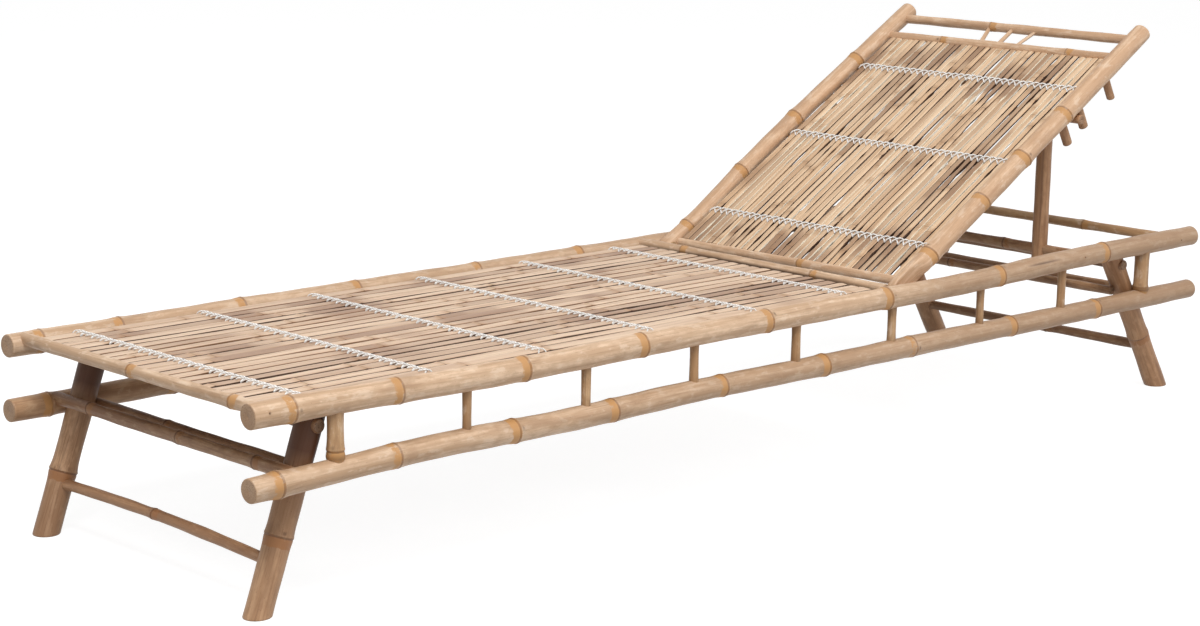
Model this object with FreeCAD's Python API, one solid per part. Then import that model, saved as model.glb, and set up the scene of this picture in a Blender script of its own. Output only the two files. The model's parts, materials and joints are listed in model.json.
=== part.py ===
import FreeCAD, Part
import math
import os

Vector = FreeCAD.Vector

# Side rails: both pairs have the same length, and their spacing sets the width
RAIL_LENGTH = 2050.0
RAIL_SPACING = 546.5
SOCKET_DEPTH = 12.0
TOP_RAIL_RADIUS = 16.5
TOP_RAIL_HEIGHT = 270.0
TOP_RAIL_NODES = {
    "near": (63.0, 234.0, 453.0, 676.0, 935.0, 1208.0, 1493.0, 1781.0),
    "far": (50.0, 179.0, 391.0, 607.0, 851.0, 1075.0, 1370.0, 1620.0, 1840.0),
}
LOWER_RAIL_RADIUS = 16.5
LOWER_RAIL_HEIGHT = 175.0
LOWER_RAIL_NODES = {
    "near": (42.0, 230.0, 435.0, 620.0, 841.0, 1065.0, 1272.0, 1530.0, 1764.0),
    "far": (60.0, 268.0, 480.0, 700.0, 905.0, 1110.0, 1340.0, 1590.0, 1820.0),
}

# Rods across the top rails, placed from the foot end or from the head end
FOOT_CROSS_INSET = 22.0
FOOT_CROSS_RADIUS = 8.5
FOOT_CROSS_RISE = 4.5
FOOT_CROSS_NODES = (-214.0, 8.0)
SEAT_END_STATION = 1215.0
SEAT_END_RADIUS = 8.5
SEAT_END_RISE = 6.0
PIVOT_BAR_STATION = 1711.0
PIVOT_BAR_RADIUS = 8.5
PIVOT_BAR_RISE = 3.0
HEAD_CROSS_INSET = 54.0
HEAD_CROSS_RADIUS = 8.2
HEAD_CROSS_NODES = (-85.0, 150.0)

# Legs, let into the rails, with the rods that pierce them and the bars beside them,
# where a drop is below the top rails' axes or the leg tops, and a rise above the lower rails' axes
LEG_RADIUS = 18.0
LEG_NOTCH = 3.5
LEG_TOP_DROP = 2.0
FOOT_LEG_INSET = 34.0
FOOT_LEG_LEAN = 19.3
HEAD_LEG_INSET = 36.0
HEAD_LEG_LEAN = 32.7
LEG_AXLE_RADIUS = 9.0
LEG_AXLE_DROP = 31.0
LEG_AXLE_END = 4.5
FOOT_OUTER_BAR_RADIUS = 9.0
FOOT_OUTER_BAR_RISE = 9.0
FOOT_OUTER_BAR_NODES = (-195.0, -29.0, 180.0)
FOOT_INNER_BAR_RADIUS = 9.0
FOOT_INNER_BAR_RISE = -3.0
FOOT_INNER_BAR_NODES = (70.0,)
HEAD_BAR_RADIUS = 8.0
HEAD_OUTER_BAR_RISE = 9.0
HEAD_OUTER_BAR_NODES = (-60.0,)
HEAD_INNER_BAR_RISE = 14.0
HEAD_INNER_BAR_NODES = (110.0,)
SADDLE_DEPTH = 1.5
FOOT_STRETCHER_HEIGHT = 71.0
FOOT_STRETCHER_RADIUS = 7.5
FOOT_STRETCHER_NODES = (13.0,)
HEAD_STRETCHER_HEIGHT = 79.0
HEAD_STRETCHER_RADIUS = 8.0
HEAD_STRETCHER_NODES = (-40.0,)

# Uprights between the lower and the top rails
POST_SEAT = 8.0
FOOT_POST_INSET = 135.0
FOOT_POST_RADIUS = 11.0
HEAD_POST_GAP = 2.5
HEAD_POST_RADIUS = 12.5
SPINDLE_RADIUS = 6.5
SPINDLE_STATIONS = (354.0, 571.0, 785.0, 1004.0, 1227.0, 1449.0, 1669.0)

# Seat: split slats on hidden battens, tied down in six rows
SEAT_SLAT_COUNT = 22
SEAT_SLAT_GAP = 1.2
SEAT_SLAT_THICKNESS = 5.0
SEAT_SLAT_RISE = 6.0
SEAT_EDGE_GAP = 5.0
SLAT_CROWN = 0.7
SEAT_ROWS = (98.0, 306.0, 506.0, 716.0, 932.0, 1134.0)
BATTEN_RADIUS = 6.0
BATTEN_SINK = 0.5
BATTEN_SEAT = 6.0
CORD_RADIUS = 1.2
CORD_PAIR = 3.2

# Backrest, given along its own rails from the hinge pins
BACK_ANGLE = 30.16
HINGE_STATION = 1266.0
BACK_RAIL_LENGTH = 726.0
BACK_RAIL_RADIUS = 15.5
BACK_RAIL_OVERHANG = 11.25
BACK_RAIL_NODES = {
    "near": (86.0, 233.0, 352.0, 478.0),
    "far": (55.0, 211.0, 371.0, 557.0),
}
HINGE_PIN_RADIUS = 5.0
HINGE_PIN_END = 2.0
WHITTLE_RUN = 12.0
WHITTLE_MARGIN = 6.0
BOTTOM_ROD_PLACE = 18.0
BOTTOM_ROD_RADIUS = 7.0
BOTTOM_ROD_NODES = (-32.0,)
UPPER_ROD_PLACE = 646.0
UPPER_ROD_RADIUS = 7.0
UPPER_ROD_NODES = (-150.0, 120.0)
HEADREST_ROD_PLACE = 700.0
HEADREST_ROD_RADIUS = 8.0
HEADREST_ROD_NODES = (47.0,)
STICK_RADIUS = 3.3
STICK_FEET = (-38.0, 0.0, 38.0)
STICK_SPREAD = 1.3
STICK_SEAT = 3.0
BACK_SLAT_COUNT = 35
BACK_SLAT_GAP = 1.4
BACK_SLAT_THICKNESS = 4.5
BACK_SLAT_RISE = 0.5
BACK_EDGE_GAP = 4.5
BACK_ROWS = (104.0, 336.0, 546.0)

# Pegs under the backrest and the prop that catches on them
PEG_PLACES = (466.0, 515.5, 601.0)
PEG_IN_USE = 1
PEG_RADIUS = 7.5
PEG_LENGTH = 36.0
PEG_SEAT = 10.0
PROP_SPACING = 390.0
PROP_POST_RADIUS = 13.0
PROP_POST_FOOT = 16.0
PROP_POST_TOP = 10.0
PROP_ROD_RADIUS = 8.0
PROP_ROD_OVERHANG = 15.0
REST_GAP = 0.3

# Fits and small forms
RUNNING_CLEARANCE = 0.08
SIDE_CLEARANCE = 0.75
END_ROUNDING = 2.0
NODE_RISE = 1.0
NODE_WIDTH = 7.0
NODE_CREST = 1.5
NAIL_RADIUS = 1.3
NAIL_HEAD_RADIUS = 2.6
NAIL_HEAD_DEPTH = 1.2
NAIL_GRIP = 10.0

SIDES = {"near": -1, "far": 1}
LEG_ENDS = ("foot", "head")
RAIL_Y = RAIL_SPACING / 2
RAIL_INNER_Y = RAIL_Y - TOP_RAIL_RADIUS
ROD_HALF = RAIL_INNER_Y + SOCKET_DEPTH
LEG_Y = RAIL_INNER_Y + LEG_NOTCH - LEG_RADIUS
LEG_TOP_HEIGHT = TOP_RAIL_HEIGHT - LEG_TOP_DROP
LEG_AXLE_HEIGHT = LEG_TOP_HEIGHT - LEG_AXLE_DROP
SEAT_SLAT_TOP = TOP_RAIL_HEIGHT + SEAT_SLAT_RISE
SEAT_SLAT_UNDERSIDE = SEAT_SLAT_TOP - SEAT_SLAT_THICKNESS
SEAT_BATTEN_HEIGHT = SEAT_SLAT_UNDERSIDE - BATTEN_RADIUS + BATTEN_SINK
SEAT_HALF = RAIL_INNER_Y - SEAT_EDGE_GAP
BACK_Y = RAIL_INNER_Y + BACK_RAIL_OVERHANG - BACK_RAIL_RADIUS
BACK_INNER_Y = BACK_Y - BACK_RAIL_RADIUS
BACK_SLAT_UNDERSIDE = BACK_SLAT_RISE - BACK_SLAT_THICKNESS
BACK_BATTEN_HEIGHT = BACK_SLAT_UNDERSIDE - BATTEN_RADIUS + BATTEN_SINK
BACK_HALF = BACK_INNER_Y - BACK_EDGE_GAP
WHITTLE_Y = RAIL_INNER_Y - SIDE_CLEARANCE


def along(station):
    """X of a place measured from the foot end of the top rails."""
    return station - RAIL_LENGTH / 2


def from_head(inset):
    """X of a place measured back from the head end of the top rails."""
    return RAIL_LENGTH / 2 - inset


HINGE = Vector(along(HINGE_STATION), 0, TOP_RAIL_HEIGHT)
PIVOT = Vector(along(PIVOT_BAR_STATION), 0, TOP_RAIL_HEIGHT + PIVOT_BAR_RISE)


def carve(host, *guests):
    """Cut the guests out of the host and keep the result plain."""
    result = host.cut(list(guests))
    if len(result.Solids) == 1:
        return result.Solids[0]
    return Part.makeCompound(result.Solids)


def pole(length, radius, nodes=()):
    """A solid pole along +X, with a raised ring at each bamboo node."""
    outline = [(0, 0), (0, radius - END_ROUNDING), (END_ROUNDING, radius)]
    for node in nodes:
        outline.append((node - NODE_WIDTH, radius))
        outline.append((node - NODE_CREST, radius + NODE_RISE))
        outline.append((node + NODE_CREST, radius + NODE_RISE))
        outline.append((node + NODE_WIDTH, radius))
    outline.append((length - END_ROUNDING, radius))
    outline.append((length, radius - END_ROUNDING))
    outline.append((length, 0))
    points = [Vector(x, 0, z) for x, z in outline]
    face = Part.Face(Part.makePolygon(points + [points[0]]))
    return face.revolve(Vector(0, 0, 0), Vector(1, 0, 0), 360)


def pole_between(start, end, radius, nodes=()):
    """A pole whose axis runs from start to end."""
    line = end.sub(start)
    shape = pole(line.Length, radius, nodes)
    turn = FreeCAD.Rotation(Vector(1, 0, 0), line)
    shape.Placement = FreeCAD.Placement(start, turn)
    return shape


def side_pole(length, side, z, radius, nodes):
    """A rail along one side of the lounger, centred on its length."""
    start = Vector(-length / 2, side * RAIL_Y, z)
    end = Vector(length / 2, side * RAIL_Y, z)
    return pole_between(start, end, radius, nodes)


def cross_rod(x, z, radius, half_length, nodes=()):
    """A pole across the lounger, with nodes given by their Y."""
    start = Vector(x, -half_length, z)
    end = Vector(x, half_length, z)
    return pole_between(start, end, radius, [y + half_length for y in nodes])


def plain_rod(x, z, radius, half_length):
    """A smooth round rod across the lounger."""
    return Part.makeCylinder(radius, 2 * half_length, Vector(x, -half_length, z), Vector(0, 1, 0))


def slat(start, end, y, width, underside, thickness):
    """One split slat with a gently crowned top."""
    left = y - width / 2
    right = y + width / 2
    shoulder = underside + thickness - SLAT_CROWN
    corners = [
        Vector(start, left, shoulder),
        Vector(start, left, underside),
        Vector(start, right, underside),
        Vector(start, right, shoulder),
    ]
    sides = Part.makePolygon(corners).Edges
    crown = Part.Arc(corners[3], Vector(start, y, underside + thickness), corners[0]).toShape()
    face = Part.Face(Part.Wire(sides + [crown]))
    return face.extrude(Vector(end - start, 0, 0))


def slat_row(start, end, half_width, count, gap, underside, thickness):
    """Equal slats side by side across the given half width."""
    pitch = (2 * half_width + gap) / count
    row = []
    for index in range(count):
        y = -half_width + (pitch - gap) / 2 + index * pitch
        row.append(slat(start, end, y, pitch - gap, underside, thickness))
    return row


def lashing(x, batten_z, half_width, slat_top):
    """Two cords over the slats, tied round the batten at both ends."""
    over = slat_top + CORD_RADIUS
    ring_radius = BATTEN_RADIUS + CORD_RADIUS
    pieces = []
    for side in SIDES.values():
        centre = Vector(x, side * (half_width + 2 * CORD_RADIUS), batten_z)
        pieces.append(Part.makeTorus(ring_radius, CORD_RADIUS, centre, Vector(0, 1, 0)))
        for shift in (-CORD_PAIR / 2, CORD_PAIR / 2):
            foot = Vector(x + shift, centre.y, batten_z + ring_radius)
            rise = over - foot.z
            pieces.append(Part.makeCylinder(CORD_RADIUS, rise, foot, Vector(0, 0, 1)))
            pieces.append(Part.makeSphere(CORD_RADIUS, Vector(x + shift, centre.y, over)))
    for shift in (-CORD_PAIR / 2, CORD_PAIR / 2):
        pieces.append(plain_rod(x + shift, over, CORD_RADIUS, half_width + 2 * CORD_RADIUS))
    return pieces[0].fuse(pieces[1:]).removeSplitter()


def nail(rod, side):
    """A nail driven level through a top rail into the end of a rod."""
    x = rod.BoundBox.Center.x
    z = rod.BoundBox.Center.z
    face_y = RAIL_Y + math.sqrt(TOP_RAIL_RADIUS ** 2 - (z - TOP_RAIL_HEIGHT) ** 2)
    start = Vector(x, side * face_y, z)
    inward = Vector(0, -side, 0)
    head = Part.makeCylinder(NAIL_HEAD_RADIUS, NAIL_HEAD_DEPTH, start, inward)
    shank = Part.makeCylinder(NAIL_RADIUS, face_y - ROD_HALF + NAIL_GRIP, start, inward)
    return head.fuse(shank).removeSplitter()


def leg_lean(end):
    """The angle between a leg and the vertical, in degrees."""
    return FOOT_LEG_LEAN if end == "foot" else HEAD_LEG_LEAN


def leg_x(end, height):
    """X of a leg's axis at a height above the floor."""
    shift = height * math.tan(math.radians(leg_lean(end)))
    if end == "foot":
        return along(FOOT_LEG_INSET + shift)
    return from_head(HEAD_LEG_INSET + shift)


def leg(end, side):
    """A leaning leg with a level foot and a level top."""
    y = side * LEG_Y
    spare = 2 * LEG_RADIUS
    top_height = LEG_TOP_HEIGHT + spare
    bottom = Vector(leg_x(end, -spare), y, -spare)
    top = Vector(leg_x(end, top_height), y, top_height)
    shape = pole_between(bottom, top, LEG_RADIUS)
    reach = 2 * LEG_TOP_HEIGHT
    corner = Vector(leg_x(end, 0) - reach, y - spare, 0)
    return shape.common(Part.makeBox(2 * reach, 2 * spare, LEG_TOP_HEIGHT, corner)).Solids[0]


def bar_x(end, rise, radius, toward_head):
    """X of the axis of a bar that bears on one flank of the legs."""
    offset = (LEG_RADIUS + radius - SADDLE_DEPTH) / math.cos(math.radians(leg_lean(end)))
    return leg_x(end, LOWER_RAIL_HEIGHT + rise) + (offset if toward_head else -offset)


def bar_beside_leg(end, rise, radius, toward_head, half_length, nodes):
    """A bar across the lounger that bears on one flank of the legs."""
    x = bar_x(end, rise, radius, toward_head)
    return cross_rod(x, LOWER_RAIL_HEIGHT + rise, radius, half_length, nodes)


def head_post_x():
    """X of the head posts, which stand just clear of the outer bar."""
    bar = bar_x("head", HEAD_OUTER_BAR_RISE, HEAD_BAR_RADIUS, True)
    return bar - HEAD_BAR_RADIUS - HEAD_POST_GAP - HEAD_POST_RADIUS


def upright(x, side, radius):
    """A post that stands between a lower rail and a top rail."""
    bottom = LOWER_RAIL_HEIGHT + LOWER_RAIL_RADIUS - POST_SEAT
    top = TOP_RAIL_HEIGHT - TOP_RAIL_RADIUS + POST_SEAT
    y = side * RAIL_Y
    return pole_between(Vector(x, y, bottom), Vector(x, y, top), radius)


def hinge_pin(side):
    """A pin fixed in a top rail that passes through a backrest rail."""
    inner = BACK_INNER_Y - HINGE_PIN_END
    start = Vector(HINGE.x, side * inner, HINGE.z)
    return Part.makeCylinder(HINGE_PIN_RADIUS, ROD_HALF - inner, start, Vector(0, side, 0))


def build_top_rods():
    """The rods that join the two top rails."""
    return {
        "foot_cross_rail": cross_rod(
            along(FOOT_CROSS_INSET), TOP_RAIL_HEIGHT + FOOT_CROSS_RISE, FOOT_CROSS_RADIUS,
            ROD_HALF, FOOT_CROSS_NODES
        ),
        "seat_end_rail": cross_rod(
            along(SEAT_END_STATION), TOP_RAIL_HEIGHT + SEAT_END_RISE, SEAT_END_RADIUS, ROD_HALF
        ),
        "prop_pivot_bar": plain_rod(PIVOT.x, PIVOT.z, PIVOT_BAR_RADIUS, ROD_HALF),
        "head_cross_rail": cross_rod(
            from_head(HEAD_CROSS_INSET), TOP_RAIL_HEIGHT, HEAD_CROSS_RADIUS, ROD_HALF,
            HEAD_CROSS_NODES
        ),
    }


def build_leg_rods():
    """The axles and stretchers that pierce the legs and the bars beside them."""
    rods = {}
    for end in LEG_ENDS:
        rods[end + "_leg_axle"] = cross_rod(
            leg_x(end, LEG_AXLE_HEIGHT), LEG_AXLE_HEIGHT, LEG_AXLE_RADIUS,
            LEG_Y + LEG_RADIUS + LEG_AXLE_END
        )
    bar_half = RAIL_Y - LOWER_RAIL_RADIUS + SOCKET_DEPTH
    rods["foot_lower_bar_outer"] = bar_beside_leg(
        "foot", FOOT_OUTER_BAR_RISE, FOOT_OUTER_BAR_RADIUS, False, bar_half, FOOT_OUTER_BAR_NODES
    )
    rods["foot_lower_bar_inner"] = bar_beside_leg(
        "foot", FOOT_INNER_BAR_RISE, FOOT_INNER_BAR_RADIUS, True, bar_half, FOOT_INNER_BAR_NODES
    )
    rods["head_lower_bar_outer"] = bar_beside_leg(
        "head", HEAD_OUTER_BAR_RISE, HEAD_BAR_RADIUS, True, bar_half, HEAD_OUTER_BAR_NODES
    )
    rods["head_lower_bar_inner"] = bar_beside_leg(
        "head", HEAD_INNER_BAR_RISE, HEAD_BAR_RADIUS, False, LEG_Y, HEAD_INNER_BAR_NODES
    )
    stretcher_half = LEG_Y - LEG_RADIUS + SOCKET_DEPTH
    rods["foot_stretcher"] = cross_rod(
        leg_x("foot", FOOT_STRETCHER_HEIGHT), FOOT_STRETCHER_HEIGHT, FOOT_STRETCHER_RADIUS,
        stretcher_half, FOOT_STRETCHER_NODES
    )
    rods["head_stretcher"] = cross_rod(
        leg_x("head", HEAD_STRETCHER_HEIGHT), HEAD_STRETCHER_HEIGHT, HEAD_STRETCHER_RADIUS,
        stretcher_half, HEAD_STRETCHER_NODES
    )
    return rods


def build_side(name, side, top_rods, leg_rods, battens):
    """One side of the frame: its rails, legs, uprights, hinge pin and nails."""
    foot_post = upright(along(FOOT_POST_INSET), side, FOOT_POST_RADIUS)
    head_post = upright(head_post_x(), side, HEAD_POST_RADIUS)
    spindles = [upright(along(station), side, SPINDLE_RADIUS) for station in SPINDLE_STATIONS]
    uprights = [foot_post, head_post] + spindles
    pin = hinge_pin(side)
    nails = [nail(rod, side) for rod in top_rods.values()]
    top_rail = side_pole(
        RAIL_LENGTH, side, TOP_RAIL_HEIGHT, TOP_RAIL_RADIUS, TOP_RAIL_NODES[name]
    )
    top_rail = carve(top_rail, pin, *top_rods.values(), *uprights, *battens, *nails)
    lower_rail = side_pole(
        RAIL_LENGTH, side, LOWER_RAIL_HEIGHT, LOWER_RAIL_RADIUS, LOWER_RAIL_NODES[name]
    )
    lower_rail = carve(lower_rail, *uprights, *leg_rods.values())
    parts = {
        "side_rail_" + name: top_rail,
        "lower_rail_" + name: lower_rail,
        "foot_post_" + name: foot_post,
        "head_post_" + name: head_post,
        "spindles_" + name: Part.makeCompound(spindles),
        "hinge_pin_" + name: pin,
        "rail_nails_" + name: Part.makeCompound(nails),
    }
    for end in LEG_ENDS:
        shape = leg(end, side)
        parts[end + "_leg_" + name] = carve(shape, top_rail, lower_rail, *leg_rods.values())
    return parts


def build_seat(top_rods, battens):
    """The seat slats, their battens and the cords that tie them down."""
    slats = slat_row(
        along(FOOT_CROSS_INSET), along(SEAT_END_STATION), SEAT_HALF, SEAT_SLAT_COUNT,
        SEAT_SLAT_GAP, SEAT_SLAT_UNDERSIDE, SEAT_SLAT_THICKNESS
    )
    end_rods = (top_rods["foot_cross_rail"], top_rods["seat_end_rail"])
    slats = [carve(one, *end_rods) for one in slats]
    parts = {
        "seat_slats": Part.makeCompound(slats),
        "seat_battens": Part.makeCompound([carve(one, *slats) for one in battens]),
    }
    for number, row in enumerate(SEAT_ROWS, 1):
        parts["seat_lashing_%d" % number] = lashing(
            along(row), SEAT_BATTEN_HEIGHT, SEAT_HALF, SEAT_SLAT_TOP
        )
    return parts


def build_frame():
    """Everything that stays still: the two sides, their rods and the seat."""
    top_rods = build_top_rods()
    leg_rods = build_leg_rods()
    batten_half = RAIL_INNER_Y + BATTEN_SEAT
    battens = [
        plain_rod(along(row), SEAT_BATTEN_HEIGHT, BATTEN_RADIUS, batten_half) for row in SEAT_ROWS
    ]
    parts = dict(leg_rods)
    for name, side in SIDES.items():
        parts.update(build_side(name, side, top_rods, leg_rods, battens))
    nails = [parts["rail_nails_" + name] for name in SIDES]
    for name, rod in top_rods.items():
        parts[name] = carve(rod, *nails)
    parts.update(build_seat(top_rods, battens))
    return parts


def whittling(side):
    """The wood cut from a backrest rail where it passes the top rail."""
    flat_end = (TOP_RAIL_RADIUS + WHITTLE_MARGIN) / math.sin(math.radians(BACK_ANGLE))
    outside = BACK_Y + 2 * BACK_RAIL_RADIUS
    slope = (BACK_Y + BACK_RAIL_RADIUS - WHITTLE_Y) / WHITTLE_RUN
    run = (outside - WHITTLE_Y) / slope
    depth = 2 * BACK_RAIL_RADIUS
    corners = [
        Vector(-depth, side * WHITTLE_Y, -depth),
        Vector(flat_end, side * WHITTLE_Y, -depth),
        Vector(flat_end + run, side * outside, -depth),
        Vector(-depth, side * outside, -depth),
    ]
    face = Part.Face(Part.makePolygon(corners + [corners[0]]))
    return face.extrude(Vector(0, 0, 2 * depth))


def back_rail(side, nodes):
    """A backrest rail with its rounded and whittled hinge end."""
    y = side * BACK_Y
    start = Vector(-BACK_RAIL_RADIUS, y, 0)
    end = Vector(BACK_RAIL_LENGTH, y, 0)
    rail = pole_between(start, end, BACK_RAIL_RADIUS, [node + BACK_RAIL_RADIUS for node in nodes])
    reach = 2 * BACK_RAIL_RADIUS
    beyond = Part.makeBox(reach, 2 * reach, 2 * reach, Vector(-reach, y - reach, -reach))
    rounding = Part.makeCylinder(
        BACK_RAIL_RADIUS, 4 * reach, Vector(0, y - 2 * reach, 0), Vector(0, 1, 0)
    )
    hole = plain_rod(0, 0, HINGE_PIN_RADIUS + RUNNING_CLEARANCE, RAIL_Y)
    return carve(rail, beyond.cut(rounding), hole, whittling(side))


def peg(place, side):
    """A peg driven square into the underside of a backrest rail."""
    top = Vector(place, side * BACK_Y, PEG_SEAT - BACK_RAIL_RADIUS)
    tip = Vector(place, side * BACK_Y, -BACK_RAIL_RADIUS - PEG_LENGTH)
    return pole_between(top, tip, PEG_RADIUS)


def ornament_sticks():
    """Three short sticks that fan out between the two top rods."""
    foot_place = UPPER_ROD_PLACE + UPPER_ROD_RADIUS - STICK_SEAT
    top_place = HEADREST_ROD_PLACE - HEADREST_ROD_RADIUS + STICK_SEAT
    sticks = []
    for y in STICK_FEET:
        start = Vector(foot_place, y, 0)
        line = Vector(top_place, y * STICK_SPREAD, 0).sub(start)
        sticks.append(Part.makeCylinder(STICK_RADIUS, line.Length, start, line))
    return sticks


def raised(shape):
    """Turn a shape of the lying backrest up to its angle at the hinge."""
    turn = FreeCAD.Rotation(Vector(0, 1, 0), -BACK_ANGLE)
    shape.Placement = FreeCAD.Placement(HINGE, turn).multiply(shape.Placement)
    return shape


def build_backrest():
    """The backrest, laid out along +X from its hinge and then raised."""
    half = BACK_INNER_Y + SOCKET_DEPTH
    bottom_rod = cross_rod(BOTTOM_ROD_PLACE, 0, BOTTOM_ROD_RADIUS, half, BOTTOM_ROD_NODES)
    upper_rod = cross_rod(UPPER_ROD_PLACE, 0, UPPER_ROD_RADIUS, half, UPPER_ROD_NODES)
    headrest_rod = cross_rod(HEADREST_ROD_PLACE, 0, HEADREST_ROD_RADIUS, half, HEADREST_ROD_NODES)
    batten_half = BACK_INNER_Y + BATTEN_SEAT
    battens = [plain_rod(row, BACK_BATTEN_HEIGHT, BATTEN_RADIUS, batten_half) for row in BACK_ROWS]
    slats = slat_row(
        BOTTOM_ROD_PLACE, UPPER_ROD_PLACE, BACK_HALF, BACK_SLAT_COUNT, BACK_SLAT_GAP,
        BACK_SLAT_UNDERSIDE, BACK_SLAT_THICKNESS
    )
    slats = [carve(one, bottom_rod, upper_rod) for one in slats]
    sticks = ornament_sticks()
    parts = {
        "bottom_rod": bottom_rod,
        "upper_rod": carve(upper_rod, *sticks),
        "headrest_rod": carve(headrest_rod, *sticks),
        "ornament_sticks": Part.makeCompound(sticks),
        "back_slats": Part.makeCompound(slats),
        "back_battens": Part.makeCompound([carve(one, *slats) for one in battens]),
    }
    for name, side in SIDES.items():
        pegs = [peg(place, side) for place in PEG_PLACES]
        rail = back_rail(side, BACK_RAIL_NODES[name])
        parts["back_rail_" + name] = carve(
            rail, bottom_rod, upper_rod, headrest_rod, *battens, *pegs
        )
        parts["pegs_" + name] = Part.makeCompound(pegs)
    for number, row in enumerate(BACK_ROWS, 1):
        parts["back_lashing_%d" % number] = lashing(
            row, BACK_BATTEN_HEIGHT, BACK_HALF, BACK_SLAT_RISE
        )
    return {name: raised(shape) for name, shape in parts.items()}


def prop_rod_centre():
    """Where the prop's rod rests, under the rails and below a peg."""
    place = PEG_PLACES[PEG_IN_USE] - PEG_RADIUS - PROP_ROD_RADIUS - REST_GAP
    depth = BACK_RAIL_RADIUS + PROP_ROD_RADIUS + REST_GAP
    lift = math.radians(BACK_ANGLE)
    x = HINGE.x + place * math.cos(lift) + depth * math.sin(lift)
    z = HINGE.z + place * math.sin(lift) - depth * math.cos(lift)
    return Vector(x, 0, z)


def build_prop():
    """The two posts and the rod that hold the backrest up."""
    centre = prop_rod_centre()
    line = centre.sub(PIVOT).normalize()
    foot = PIVOT.sub(line * PROP_POST_FOOT)
    top = centre.add(line * PROP_POST_TOP)
    rod = cross_rod(centre.x, centre.z, PROP_ROD_RADIUS, BACK_Y + PROP_ROD_OVERHANG)
    hole = plain_rod(PIVOT.x, PIVOT.z, PIVOT_BAR_RADIUS + RUNNING_CLEARANCE, RAIL_Y)
    parts = {"prop_rod": rod}
    for name, side in SIDES.items():
        shift = Vector(0, side * PROP_SPACING / 2, 0)
        post = pole_between(foot.add(shift), top.add(shift), PROP_POST_RADIUS)
        parts["prop_post_" + name] = carve(post, rod, hole)
    return parts


def main():
    """Build every part and write each one to its own file."""
    os.makedirs("parts", exist_ok=True)
    parts = build_frame()
    parts.update(build_backrest())
    parts.update(build_prop())
    for name, shape in parts.items():
        shape.exportStep("parts/%s.step" % name)


main()
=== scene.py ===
import bpy
import json
import math

import numpy as np
from mathutils import Matrix, Vector


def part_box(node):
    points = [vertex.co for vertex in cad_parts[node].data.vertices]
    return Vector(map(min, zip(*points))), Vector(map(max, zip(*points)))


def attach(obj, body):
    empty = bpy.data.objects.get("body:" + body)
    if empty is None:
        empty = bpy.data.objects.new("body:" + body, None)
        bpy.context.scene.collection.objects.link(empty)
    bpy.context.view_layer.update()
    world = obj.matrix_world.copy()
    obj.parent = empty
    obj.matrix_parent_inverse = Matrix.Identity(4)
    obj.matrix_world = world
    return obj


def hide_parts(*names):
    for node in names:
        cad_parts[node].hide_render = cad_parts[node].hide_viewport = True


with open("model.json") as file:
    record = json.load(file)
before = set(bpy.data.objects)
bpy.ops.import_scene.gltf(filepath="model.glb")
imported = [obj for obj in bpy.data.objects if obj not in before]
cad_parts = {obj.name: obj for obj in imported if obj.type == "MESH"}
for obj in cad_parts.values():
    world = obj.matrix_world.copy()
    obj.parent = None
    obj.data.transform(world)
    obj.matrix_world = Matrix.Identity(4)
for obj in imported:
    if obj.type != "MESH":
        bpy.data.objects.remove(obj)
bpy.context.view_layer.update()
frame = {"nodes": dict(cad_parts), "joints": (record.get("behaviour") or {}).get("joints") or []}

# Sizes are in metres. The camera stands where the photograph was taken from
IMAGE_WIDTH = 1200
FOCAL_PIXELS = 2553.66
SENSOR_WIDTH = 36.0
CAMERA_PLACE = Vector((-2.8259, -2.7211, 1.0205))
CAMERA_YAW = math.radians(45.61)
CAMERA_PITCH = math.radians(11.55)
CAMERA_ROLL = math.radians(0.957)

# Lamps, each with its place, its target, its size and its power, and the light of the world
LAMPS = {
    "key": ((-1.9, -1.9, 4.2), (0, 0, 0.2), 2.2, 185),
    "fill": ((2.4, -3.0, 2.6), (0, 0, 0.3), 2.6, 45),
}
WORLD_LIGHT = 0.28
# The floor where it is seen, as its own white and the grey that takes shadows, and where it only lights
FLOOR_GLOW = 0.90
FLOOR_SHADOW = (0.30, 0.30, 0.30, 1.0)
FLOOR_GREY = (206, 206, 206)
FLOOR_HALF = 14.0

# Places of the lounger's parts
RAIL_LENGTH = 2.050
TOP_RAIL_HEIGHT = 0.270
TOP_RAIL_RADIUS = 0.0165
LEG_RADIUS = 0.018
LEG_LEAN = {"foot": math.radians(19.3), "head": math.radians(-32.7)}
SPINDLE_STATIONS = (0.354, 0.571, 0.785, 1.004, 1.227, 1.449, 1.669)
SPINDLE_RADIUS = 0.0065
BACK_ANGLE = math.radians(30.16)
BACK_RAIL_RADIUS = 0.0155
BACK_RAIL_LENGTH = 0.726
BATTEN_RADIUS = 0.006
BATTEN_SINK = 0.0005
STICK_RADIUS = 0.0033
STICK_FEET = (-0.038, 0.0, 0.038)
STICK_SPREAD = 1.3
STICK_START = 0.650
STICK_END = 0.695
PEG_PLACES = (0.466, 0.5155, 0.601)
PEG_RADIUS = 0.0075
PEG_TOP = -0.0055
PEG_TIP = -0.0515
WHITTLE_GAP = 0.00075
WHITTLE_FLAT = 0.0448
WHITTLE_SLOPE = 1.0
RING_RISE = 0.001

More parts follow.
